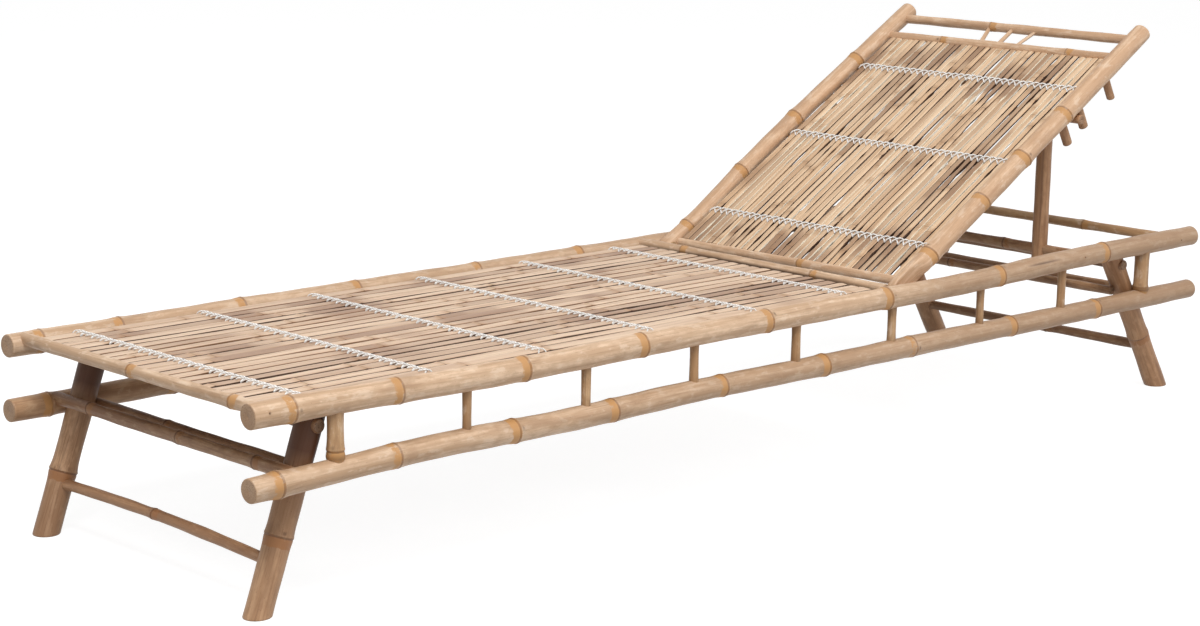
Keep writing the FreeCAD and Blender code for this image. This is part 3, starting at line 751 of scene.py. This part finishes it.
def pole(shape, start, end, radius, seed, nodes=(), name="", level=False, flare=0.0, age=0.0):
    """Add a bamboo pole; its name gives its bends, scars and browns, and level cuts its ends level."""
    draw = np.random.default_rng(seed)
    scars = SCARS.get(name, ())
    along, side, up = pole_axes(start, end)
    length = (end - start).length
    row = ring_places(length, nodes, scars)
    sides = THIN_SIDES if radius < THIN_POLE else POLE_SIDES
    turn = np.linspace(0, math.tau, sides, endpoint=False)
    places, angle = np.meshgrid(row, turn, indexing="ij")
    height, mark, nearest, gold = node_forms(places, angle, radius, nodes, draw)
    reach = radius + height + waves(places, angle, draw) + flare * flared(places, length)
    if flare:
        mark = np.maximum(mark, JOINT_DARK * flared(places, length) * draw.uniform(*MARK_STRENGTHS))
    reach, mark = scarred(places, angle, radius, reach, mark, scars)
    reach = reach - end_rounding(places, length)
    side_part = np.sin(angle) * reach
    up_part = np.cos(angle) * reach
    radial = side_part[..., None] * side + up_part[..., None] * up
    slid = places + level_shift(places, length, along, radial) if level else places
    rise = BOWS.get(name, 0.0) * np.sin(math.pi * places / length) + lift_at(name, places)
    points = np.array(start) + slid[..., None] * along + radial + rise[..., None] * up
    points = points.reshape(-1, 3)
    grain = np.stack([places, side_part, up_part], -1) + draw.uniform(0, GRAIN_SHIFT, 3)
    grain = grain.reshape(-1, 3)
    tone = float(np.clip(draw.normal(*POLE_TONE), 0, 1))
    cut = np.where(np.minimum(places, length - places) < CUT_EDGE, CUT_EDGE_SHARE, 0.0)
    shape.add(
        points, grid_faces(len(row), sides), grain, node=nearest, gold=gold, mark=mark, tone=tone,
        cut=cut, age=age + darkening_at(DARKENING_ALONG.get(name, UNDARKENED), places)
    )
    for first, inward in ((0, 1), ((len(row) - 1) * sides, -1)):
        cap(shape, points[first:first + sides], grain[first:first + sides], along * inward, tone)


def cap(shape, rim, rim_grain, inward, tone):
    """Close a pole's cut end, with its small sunken pith."""
    sides = len(rim)
    centre = rim.mean(0)
    centre_grain = rim_grain.mean(0)
    points = [rim]
    grain = [rim_grain]
    for share, depth in CAP_RINGS:
        points.append(centre + (rim - centre) * share + inward * depth)
        grain.append(centre_grain + (rim_grain - centre_grain) * share)
    points.append([centre + inward * PITH_DEPTH])
    grain.append([centre_grain])
    rows = len(CAP_RINGS) + 1
    faces = grid_faces(rows, sides) + fan((rows - 1) * sides, sides, rows * sides)
    if np.cross(rim[1] - rim[0], rim[2] - rim[1]) @ inward > 0:
        faces = flipped(faces)
    mark = np.zeros(rows * sides + 1)
    mark[:sides] = CAP_MARKS["rim"]
    mark[-1 - sides:] = CAP_MARKS["pith_ring"]
    mark[-1] = CAP_MARKS["pith"]
    shape.add(np.concatenate(points), faces, np.concatenate(grain), tone=tone, cut=1.0, mark=mark, node=1.0)


class Gap:
    """The opening between two neighbouring slats: where it runs, and how wide it is."""

    def __init__(self, middle, panel, start, length, draw):
        self.middle = middle
        self.wander = panel["wander"]
        self.lengths = draw.uniform(*GAP_WAVES, 4)
        self.turns = draw.uniform(0, math.tau, 4)
        self.width = panel["width"] * draw.uniform(*GAP_WIDTHS)
        self.openings = []
        for row in panel["rows"]:
            width = panel["opening"] * draw.uniform(*ROW_OPENING["widths"])
            self.openings.append((row - start - ROW_OPENING["before"], width, ROW_OPENING["reach"]))
        self.dashes = []
        for place in panel["dashes"]:
            if draw.random() < DASH["chance"]:
                place += draw.normal(0, DASH["jitter"])
                reach = DASH["reach"] * draw.uniform(*DASH["reaches"])
                self.dashes.append((place, DASH["width"], reach))
        for _ in range(panel["slits"]):
            if draw.random() < SLIT["chance"]:
                width = SLIT["width"] * draw.uniform(*SLIT["widths"])
                reach = SLIT["reach"] * draw.uniform(*SLIT["reaches"])
                self.openings.append((draw.uniform(0, length), width, reach))

    def wave(self, places, first):
        """A gentle wander made of two waves."""
        total = np.zeros_like(places)
        for index in (first, first + 1):
            total += np.sin(math.tau * places / self.lengths[index] + self.turns[index])
        return total / 2

    def centre(self, places):
        """Where the middle of the gap runs."""
        return self.middle + self.wander * self.wave(places, 0)

    def half(self, places):
        """Half the width of the gap."""
        width = self.width * (1 + GAP_SWING * self.wave(places, 2))
        for place, opening, reach in self.openings + self.dashes:
            width = width + opening * np.exp(-(((places - place) / reach) ** 4))
        return np.clip(width, LEAST_GAP, None) / 2

    def depth(self, places):
        """1 where the slats meet under the gap, so that it looks dark, and 0 elsewhere."""
        total = np.zeros_like(places)
        for place, _, reach in self.dashes:
            total = np.maximum(total, np.exp(-(((places - place) / (reach * DASH["closed"])) ** 4)))
        return total


class Edge:
    """The straight outer edge of a row of slats, which answers as a gap does."""

    def __init__(self, middle):
        self.middle = middle

    def centre(self, places):
        """Where the edge runs."""
        return np.full_like(places, self.middle)

    def half(self, places):
        """No opening, and no slats that meet under it."""
        return np.zeros_like(places)

    depth = half


def slat_ridges(row, nodes):
    """The small ridge at each node of a slat, and the distance to the nearest node."""
    nearest = np.full_like(row, 1.0)
    ridge = np.zeros_like(row)
    for node in nodes:
        away = row - node
        for reach, height in SLAT_RIDGES:
            ridge += height * bell(away, reach)
        nearest = np.minimum(nearest, np.abs(away))
    return ridge, nearest


def step_up(away, edge):
    """0 well before a place and 1 well past it, with a soft edge."""
    return 1 / (1 + np.exp(-np.clip(away / edge, -STEP_LIMIT, STEP_LIMIT)))


def slat_tone(row, nodes, stain, draw):
    """A tone that changes at each node, where one length of the culm meets the next."""
    tone = np.full_like(row, draw.normal(*SLAT_TONE))
    for node in nodes:
        tone += draw.normal(0.0, TONE_STEP) * step_up(row - node, TONE_EDGE)
    for place, reach, strength in stain:
        tone += strength * step_up(reach - np.abs(row - place), STAIN["edge"])
    return np.clip(tone, 0, 1)


def slat(shape, put, panel, start, borders, row, nodes, stain, draw):
    """Add one split slat between its left and its right border."""
    left = borders[0].centre(row) + borders[0].half(row)
    right = borders[1].centre(row) - borders[1].half(row)
    centre = (left + right) / 2
    half = (right - left) / 2
    lift = SLAT_LIFT * np.sin(math.tau * row / draw.uniform(*SLAT_WAVES) + draw.uniform(*WAVE_PHASES))
    tilt = draw.normal(0, SLAT_TILT)
    ridge, nearest = slat_ridges(row, nodes)
    points = []
    grain = []
    for across, share in SLAT_PROFILE:
        beside = borders[1] if across > 0 else borders[0]
        y = half * across
        if share < SLAT_UNDER and across:
            closed = math.copysign(1.0, across) * (half + beside.half(row))
            y = y + (closed - y) * beside.depth(row)
        z = panel["underside"] + panel["thickness"] * share + lift + tilt * across + ridge * share
        points.append(np.stack([start + row, centre + y, z], -1))
        grain.append(np.stack([row, y, z], -1))
    columns = len(SLAT_PROFILE)
    flat = np.stack(points, 1).reshape(-1, 3)
    placed = flat @ np.array(put.to_3x3()).T + np.array(put.translation)
    pale = float(draw.random() < PALE_CHANCE)
    shape.add(
        placed, closed_faces(len(row), columns),
        np.stack(grain, 1).reshape(-1, 3) + draw.uniform(0, GRAIN_SHIFT, 3),
        node=np.repeat(nearest, columns), tone=np.repeat(slat_tone(row, nodes, stain, draw), columns),
        # edge marks the side walls, which the material paints as shade in the gaps
        edge=np.tile([float(share < SLAT_SIDE) for _, share in SLAT_PROFILE], len(row)), pale=pale
    )


def add_cord(shape, put, x, y, z, radius, seed, sides=CORD_SIDES):
    """Add a cord along a path given in the panel's own axes."""
    draw = np.random.default_rng(seed)
    path = np.array([put @ Vector(point) for point in np.stack([x, y, z], -1)])
    tangent = np.gradient(path, axis=0)
    tangent /= np.linalg.norm(tangent, axis=1)[:, None]
    side = np.cross(tangent, [0, 0, 1] if abs(tangent[0][2]) < NEARLY_UPRIGHT else [1, 0, 0])
    side /= np.linalg.norm(side, axis=1)[:, None]
    up = np.cross(side, tangent)
    gone = np.concatenate([[0.0], np.cumsum(np.linalg.norm(np.diff(path, axis=0), axis=1))])
    turn = np.linspace(0, math.tau, sides, endpoint=False)
    reach = side[:, None] * np.cos(turn)[None, :, None] + up[:, None] * np.sin(turn)[None, :, None]
    points = (path[:, None] + reach * radius).reshape(-1, 3)
    places = np.repeat(gone, sides)
    angle = np.tile(turn, len(path))
    grain = np.stack([places, radius * np.cos(angle), radius * np.sin(angle)], -1)
    shape.add(
        points, closed_faces(len(path), sides), grain + draw.uniform(0, GRAIN_SHIFT, 3),
        twist=np.sin(math.tau * places / TWIST_PITCH + 2 * angle)
    )


def chain(shape, put, panel, place, gaps, half_width, seed):
    """Add two cords that cross over the slats again and again, and dip into the gaps."""
    middles = np.array([float(gap.centre(np.array([place]))[0]) for gap in gaps])
    borders = np.concatenate([[-half_width], middles, [half_width]])
    radius = panel["cord"]
    count = (len(borders) - 1) * panel["crossings"]
    step = np.linspace(0, count, count * CHAIN_STEPS + 1)
    y = np.interp(step / panel["crossings"], np.arange(len(borders)), borders)
    shifts = np.random.default_rng(seed).normal(0, CHAIN_JITTER, count + 1)
    nearest = np.abs(y[:, None] - middles[None, :]).min(1)
    dip = DIP["depth"] * bell(nearest, DIP["reach"])
    past = np.clip((np.abs(y) - half_width + TUCK["reach"]) / TUCK["reach"], 0, 1)
    low = panel["underside"] + panel["thickness"] + radius * CHAIN_REST
    over = np.abs(np.sin(math.pi * step)) ** CROSS_POWER
    for strand in range(2):
        zigzag = np.arcsin(np.cos(math.pi * (step + strand)) * CHAIN_POINT) / math.asin(CHAIN_POINT)
        x = place + panel["reach"] * zigzag + np.interp(step, np.arange(count + 1), shifts)
        cross = radius * (1 + np.cos(math.pi * (np.floor(step) + strand))) * over
        add_cord(shape, put, x, y, low + cross - dip - past ** 2 * TUCK["depth"], radius, seed + strand)


def batten_ties(shape, put, panel, place, gaps, batten_z, seed):
    """Add the turns of cord that pass down between slats and round the batten."""
    reach = BATTEN_RADIUS + panel["cord"]
    turn = np.linspace(-TIE_TURN, TIE_TURN, TIE_STEPS)
    x = place + reach * np.sin(turn)
    z = batten_z - reach * np.cos(turn)
    for index, gap in enumerate(gaps):
        add_cord(shape, put, x, np.full_like(x, gap.middle), z, panel["cord"], seed + index, TIE_SIDES)


def strip_nodes(index, length, panel, draw):
    """Where the nodes of one slat fall, drifting from slat to slat."""
    found = []
    for number, base in enumerate(panel["nodes"]):
        turn = math.tau * index / panel["period"] + STRIP_NODES["turn"] * number
        place = base + panel["sway"] * math.sin(turn) + draw.normal(0, STRIP_NODES["jitter"])
        if STRIP_NODES["margin"] < place < length - STRIP_NODES["margin"]:
            found.append(place)
    return sorted(found)


def slat_row(put, panel, half_width):
    """Build a row of split slats, and return its shape and the gaps between the slats."""
    shape = Shape()
    draw = np.random.default_rng(panel["slat_seed"])
    start = panel["start"] + panel["trims"][0]
    length = panel["end"] - panel["trims"][1] - start
    count = panel["count"]
    pitch = 2 * half_width / count
    gaps = [Gap(-half_width + index * pitch, panel, start, length, draw) for index in range(1, count)]
    borders = [Edge(-half_width)] + gaps + [Edge(half_width)]
    stains = [
        (
            draw.uniform(0, count), draw.uniform(*STAIN["slats"]), draw.uniform(0, length),
            draw.uniform(*STAIN["reach"])
        )
        for _ in range(panel["stains"])
    ]
    for index in range(count):
        nodes = strip_nodes(index, length, panel, draw)
        stain = [
            (
                place + draw.normal(0, STAIN["jitter"]), reach * draw.uniform(*STAIN["reaches"]),
                draw.uniform(*STAIN["strengths"])
            )
            for middle, wide, place, reach in stains if abs(index - middle) < wide
        ]
        row = ring_places(length, nodes)
        slat(shape, put, panel, start, borders[index:index + 2], row, nodes, stain, draw)
    return shape, gaps


def box_axis(name, axis):
    """Start and end of a straight pole that lies along one axis, and its radius."""
    low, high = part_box(name)
    start = (low + high) / 2
    end = start.copy()
    start[axis] = low[axis]
    end[axis] = high[axis]
    near_drop, far_drop = END_DROPS.get(name, (0.0, 0.0))
    start.z -= near_drop
    end.z -= far_drop
    return start, end, min(high[index] - low[index] for index in range(3) if index != axis) / 2


def build_pole(name, start, end, radius, seed, nodes, skin, slot, body="frame", prefix="pole_", **form):
    """Make a piece of one pole, in the place of the node of its name."""
    shape = Shape()
    pole(shape, start, end, radius, seed, nodes, name, **form)
    shape.build(prefix + name, skin, body, slot, name)


def build_rails(skins):
    """The two top rails and the two lower rails."""
    for seed, (name, nodes) in enumerate(RAIL_NODES.items(), SEEDS["rails"]):
        start, end, radius = box_axis(name, 0)
        skin = skins["shaded_rail" if name == "lower_rail_far" else "rail"]
        build_pole(name, start, end, radius - RING_RISE, seed, nodes, skin, "rail_bamboo")


def build_rods(table, first_seed, body, looks, usual=None):
    """Rods that run across the lounger, in the looks of their names or in the usual one."""
    for seed, (name, nodes) in enumerate(table.items(), first_seed):
        start, end, radius = box_axis(name, 1)
        rise = 0.0 if name in RINGLESS else RING_RISE
        places = [y - start.y for y in nodes]
        skin, slot = looks.get(name, usual)
        build_pole(name, start, end, radius - rise, seed, places, skin, slot, body)


def build_cross_rods(skins):
    """The rods and bars of the fixed frame that run across it."""
    looks = {
        "foot_cross_rail": (skins["rail"], "rail_bamboo"),
        "seat_end_rail": (skins["rail"], "rail_bamboo"),
        "head_cross_rail": (skins["post"], "rail_bamboo"),
        "foot_stretcher": (skins["prop"], "under_bamboo"),
    }
    build_rods(CROSS_NODES, SEEDS["cross_rods"], "frame", looks, (skins["under"], "under_bamboo"))


def upright(shape, start, end, radius, seed, side, nodes=(), flare=POST_FLARE):
    """Add an upright whose ends follow the bends of the two rails of its side."""
    station = start.x + RAIL_LENGTH / 2
    start.z += lift_at("lower_rail_" + side, station)
    end.z += lift_at("side_rail_" + side, station)
    age = float(darkening_at(UPRIGHT_DARKENING, station))
    pole(shape, start, end, radius, seed, nodes, flare=flare, age=age)


def build_uprights(skins):
    """Posts and spindles between the lower and the top rails."""
    for seed, (name, nodes) in enumerate(POST_NODES.items(), SEEDS["posts"]):
        shape = Shape()
        start, end, radius = box_axis(name, 2)
        upright(shape, start, end, radius, seed, name.rsplit("_", 1)[1], nodes)
        shape.build("pole_" + name, skins["post"], "frame", "under_bamboo", name)
    for side, first_seed in SEEDS["spindles"].items():
        name = "spindles_" + side
        shape = Shape()
        start, end, _ = box_axis(name, 2)
        for seed, station in enumerate(SPINDLE_STATIONS, first_seed):
            x = station - RAIL_LENGTH / 2
            foot = Vector((x, start.y, start.z))
            upright(shape, foot, Vector((x, end.y, end.z)), SPINDLE_RADIUS, seed, side, flare=POST_FLARE / 2)
        shape.build("pole_" + name, skins["post"], "frame", "under_bamboo", name)


def build_legs(skins):
    """Four leaning legs with level feet and tops."""
    for seed, (name, nodes) in enumerate(LEG_NODES.items(), SEEDS["legs"]):
        lean = LEG_LEAN[name[:4]]
        low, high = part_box(name)
        reach = LEG_RADIUS / math.cos(lean)
        foot_x = low.x + reach if lean > 0 else high.x - reach
        y = high.y - LEG_RADIUS if name.endswith("near") else low.y + LEG_RADIUS
        start = Vector((foot_x, y, low.z))
        end = Vector((foot_x + (high.z - low.z) * math.tan(lean), y, high.z))
        skin = skins["foot_leg" if name.startswith("foot") else "prop"]
        build_pole(name, start, end, LEG_RADIUS, seed, nodes, skin, "under_bamboo", level=True)


def build_battens(skins, put, panel):
    """Round battens under a row of slats, and the height of their axes."""
    node = panel["name"] + "_battens"
    half_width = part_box(node)[1].y
    shape = Shape()
    z = panel["underside"] - BATTEN_RADIUS + BATTEN_SINK
    for seed, place in enumerate(panel["rows"], panel["batten_seed"]):
        start = put @ Vector((place, -half_width, z))
        pole(shape, start, put @ Vector((place, half_width, z)), BATTEN_RADIUS, seed)
    shape.build("pole_" + node, skins["under"], panel["body"], "under_bamboo", node)
    return z


def build_panel(skins, put, panel):
    """A row of split slats, with its battens and crossed lashings."""
    name = panel["name"]
    half_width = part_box(name + "_slats")[1].y
    shape, gaps = slat_row(put, panel, half_width)
    shape.build(name + "_strips", skins[name], panel["body"], name + "_slat", name + "_slats")
    batten_z = build_battens(skins, put, panel)
    chain_seed, chain_step = panel["chain_seeds"]
    tie_seed, tie_step = panel["tie_seeds"]
    for number, place in enumerate(panel["rows"], 1):
        shape = Shape()
        chain(shape, put, panel, place, gaps, half_width + CHAIN_OVERHANG, chain_seed + chain_step * number)
        batten_ties(shape, put, panel, place, gaps, batten_z, tie_seed + tie_step * number)
        lashing = "%s_lashing_%d" % (name, number)
        shape.build("chain_" + lashing, skins["cord"], panel["body"], "cord", lashing)


def shape_hinge_end(shape, side, put_back, limit):
    """Round a backrest rail about its pin, and cut it flat beside the top rail."""
    turn = np.array(put_back.to_3x3())
    for part in shape.points:
        local = part @ turn.T + np.array(put_back.translation)
        allowed = limit + np.clip(local[:, 0] - WHITTLE_FLAT, 0, None) * WHITTLE_SLOPE
        local[:, 1] = np.where(local[:, 1] * side > allowed, side * allowed, local[:, 1])
        behind = np.clip(-local[:, 0], 0, BACK_RAIL_RADIUS)
        room = np.sqrt(BACK_RAIL_RADIUS ** 2 - behind ** 2)
        rounded = np.clip(local[:, 2], -room, room)
        local[:, 2] = np.where(local[:, 0] < 0, rounded, local[:, 2])
        part[:] = (local - np.array(put_back.translation)) @ turn


def build_back_rails(skins, put):
    """The two backrest rails, and the Y of each one's axis."""
    limit = RING_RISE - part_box("side_rail_near")[1].y - WHITTLE_GAP
    back_y = {}
    for seed, (name, nodes) in enumerate(BACK_RAIL_NODES.items(), SEEDS["back_rails"]):
        low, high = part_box(name)
        side = -1 if name.endswith("near") else 1
        outer = low.y if side < 0 else high.y
        y = outer - side * (BACK_RAIL_RADIUS + RING_RISE)
        back_y[name.rsplit("_", 1)[1]] = y
        start = put @ Vector((-BACK_RAIL_RADIUS, y, 0))
        end = put @ Vector((BACK_RAIL_LENGTH, y, 0))
        shape = Shape()
        places = [node + BACK_RAIL_RADIUS for node in nodes]
        pole(shape, start, end, BACK_RAIL_RADIUS, seed, places, name)
        shape_hinge_end(shape, side, put.inverted(), limit)
        shape.build("pole_" + name, skins["back_rail"], "backrest", "rail_bamboo", name)
    return back_y


def build_sticks(skins, put):
    """Three short sticks that fan out between the two top rods."""
    shape = Shape()
    for seed, y in enumerate(STICK_FEET, SEEDS["sticks"]):
        start = put @ Vector((STICK_START, y, 0))
        pole(shape, start, put @ Vector((STICK_END, y * STICK_SPREAD, 0)), STICK_RADIUS, seed)
    shape.build("fan_sticks", skins["back_rail"], "backrest", "rail_bamboo", "ornament_sticks")


def build_pegs(skins, put, back_y):
    """Pegs on the underside of both backrest rails."""
    for side, first_seed in SEEDS["pegs"].items():
        shape = Shape()
        for seed, place in enumerate(PEG_PLACES, first_seed):
            start = put @ Vector((place, back_y[side], PEG_TOP))
            pole(shape, start, put @ Vector((place, back_y[side], PEG_TIP)), PEG_RADIUS, seed)
        shape.build("set_pegs_" + side, skins["prop"], "backrest", "rail_bamboo", "pegs_" + side)


def build_backrest(skins):
    """Everything that lifts with the backrest."""
    put = Matrix.Translation(HINGE) @ Matrix.Rotation(-BACK_ANGLE, 4, "Y")
    back_y = build_back_rails(skins, put)
    build_rods(BACK_ROD_NODES, SEEDS["back_rods"], "backrest", {}, (skins["back_rail"], "rail_bamboo"))
    build_sticks(skins, put)
    build_pegs(skins, put, back_y)
    build_panel(skins, put, BACK)


def build_prop(skins):
    """The prop's rod and its two posts."""
    build_rods(PROP_ROD_NODES, SEEDS["prop_rod"], "prop", {}, (skins["prop"], "under_bamboo"))
    for seed, name in enumerate(("prop_post_near", "prop_post_far"), SEEDS["prop_posts"]):
        start, end, radius = box_axis(name, 2)
        build_pole(name, start, end, radius, seed, (), skins["prop"], "under_bamboo", "prop", "post_")


def build_nails(skins):
    """Nail heads in the outer faces of the top rails."""
    for direction, side in ((-1, "near"), (1, "far")):
        shape = Shape()
        rail = "side_rail_" + side
        rail_low, rail_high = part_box(rail)
        for seed, rod in enumerate(NAILED_RODS, SEEDS["nails"]):
            low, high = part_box(rod)
            middle = (low + high) / 2
            drop = middle.z - (rail_low.z + rail_high.z) / 2
            face = math.sqrt(TOP_RAIL_RADIUS ** 2 - drop ** 2)
            y = (rail_low.y + rail_high.y) / 2 + direction * face
            z = middle.z + lift_at(rail, middle.x + RAIL_LENGTH / 2)
            nail_head(shape, Vector((middle.x, y, z)), direction, seed)
        name = "rail_nails_" + side
        shape.build("heads_" + name, skins["nail"], "frame", "nail_steel", name)


def nail_head(shape, place, direction, seed):
    """Add one low dome that stands just proud of the rail."""
    turn = np.linspace(0, math.tau, NAIL_SIDES, endpoint=False)
    points = []
    for radius, out in NAIL_RINGS:
        for angle in turn:
            shift = Vector((radius * math.cos(angle), direction * out, radius * math.sin(angle)))
            points.append(place + shift)
    for out in (NAIL_TOP, NAIL_FOOT):
        points.append(place + Vector((0, direction * out, 0)))
    rows = len(NAIL_RINGS)
    top = rows * NAIL_SIDES
    faces = grid_faces(rows, NAIL_SIDES) + fan(top - NAIL_SIDES, NAIL_SIDES, top)
    faces += [(second, first, tip) for first, second, tip in fan(0, NAIL_SIDES, top + 1)]
    if direction > 0:
        faces = flipped(faces)
    points = np.array(points)
    shape.add(points, faces, points + seed)


def dress_pins():
    """Give the hinge pins, which stay as they are, a wood of their own."""
    wood = dowel_material()
    for name in ("hinge_pin_near", "hinge_pin_far"):
        for material_slot in frame["nodes"][name].material_slots:
            material_slot.material = wood


def make_camera():
    """The camera at the photograph's place."""
    forward = Vector((
        math.cos(CAMERA_YAW) * math.cos(CAMERA_PITCH),
        math.sin(CAMERA_YAW) * math.cos(CAMERA_PITCH),
        -math.sin(CAMERA_PITCH),
    ))
    level_right = Vector((math.sin(CAMERA_YAW), -math.cos(CAMERA_YAW), 0))
    level_up = level_right.cross(forward)
    right = level_right * math.cos(CAMERA_ROLL) + level_up * math.sin(CAMERA_ROLL)
    up = level_up * math.cos(CAMERA_ROLL) - level_right * math.sin(CAMERA_ROLL)
    data = bpy.data.cameras.new("camera")
    data.sensor_width = SENSOR_WIDTH
    data.lens = FOCAL_PIXELS / IMAGE_WIDTH * SENSOR_WIDTH
    camera = add_object("camera", data)
    turn = Matrix((right, up, -forward)).transposed().to_4x4()
    camera.matrix_world = Matrix.Translation(CAMERA_PLACE) @ turn
    bpy.context.scene.camera = camera


def make_lamps():
    """Soft square lamps that point at the lounger."""
    for name, (place, target, size, power) in LAMPS.items():
        data = bpy.data.lights.new(name, "AREA")
        data.shape = "SQUARE"
        data.size = size
        data.energy = power
        light = add_object(name, data)
        light.location = place
        light.rotation_euler = (Vector(target) - Vector(place)).to_track_quat("-Z", "Y").to_euler()


def make_world():
    """White where it is seen, and a softer white where it lights."""
    world = bpy.data.worlds.new("studio")
    bpy.context.scene.world = world
    graph = Graph(world, "OutputWorld")
    strength = graph.node("MapRange", {"Value": graph.seen(), "To Min": WORLD_LIGHT, "To Max": 1.0})
    inputs = {"Color": (1.0, 1.0, 1.0, 1.0), "Strength": strength.outputs[0]}
    graph.end_in(graph.node("Background", inputs))


def make_floor():
    """A plain floor that is seen white and keeps the soft shadow."""
    mesh = bpy.data.meshes.new("floor")
    corners = [(x * FLOOR_HALF, y * FLOOR_HALF, 0) for x, y in ((-1, -1), (1, -1), (1, 1), (-1, 1))]
    mesh.from_pydata(corners, [], [(0, 1, 2, 3)])
    graph = Graph(bpy.data.materials.new("floor_paint"))
    seen = graph.seen()
    diffuse = graph.node("BsdfDiffuse", {"Color": graph.mix(seen, srgb(*FLOOR_GREY), FLOOR_SHADOW)})
    glow = graph.node("Emission", {"Strength": graph.times(seen, FLOOR_GLOW)})
    graph.end_in(graph.node("AddShader", {0: diffuse.outputs[0], 1: glow.outputs[0]}))
    mesh.materials.append(graph.owner)
    add_object("floor", mesh)


def main():
    """Build the whole scene."""
    bpy.context.scene.view_settings.view_transform = "Standard"
    skins = make_skins()
    build_rails(skins)
    build_cross_rods(skins)
    build_uprights(skins)
    build_legs(skins)
    build_panel(skins, Matrix.Translation((-RAIL_LENGTH / 2, 0, TOP_RAIL_HEIGHT)), SEAT)
    build_backrest(skins)
    build_prop(skins)
    build_nails(skins)
    dress_pins()
    make_camera()
    make_world()
    make_floor()
    make_lamps()


main()
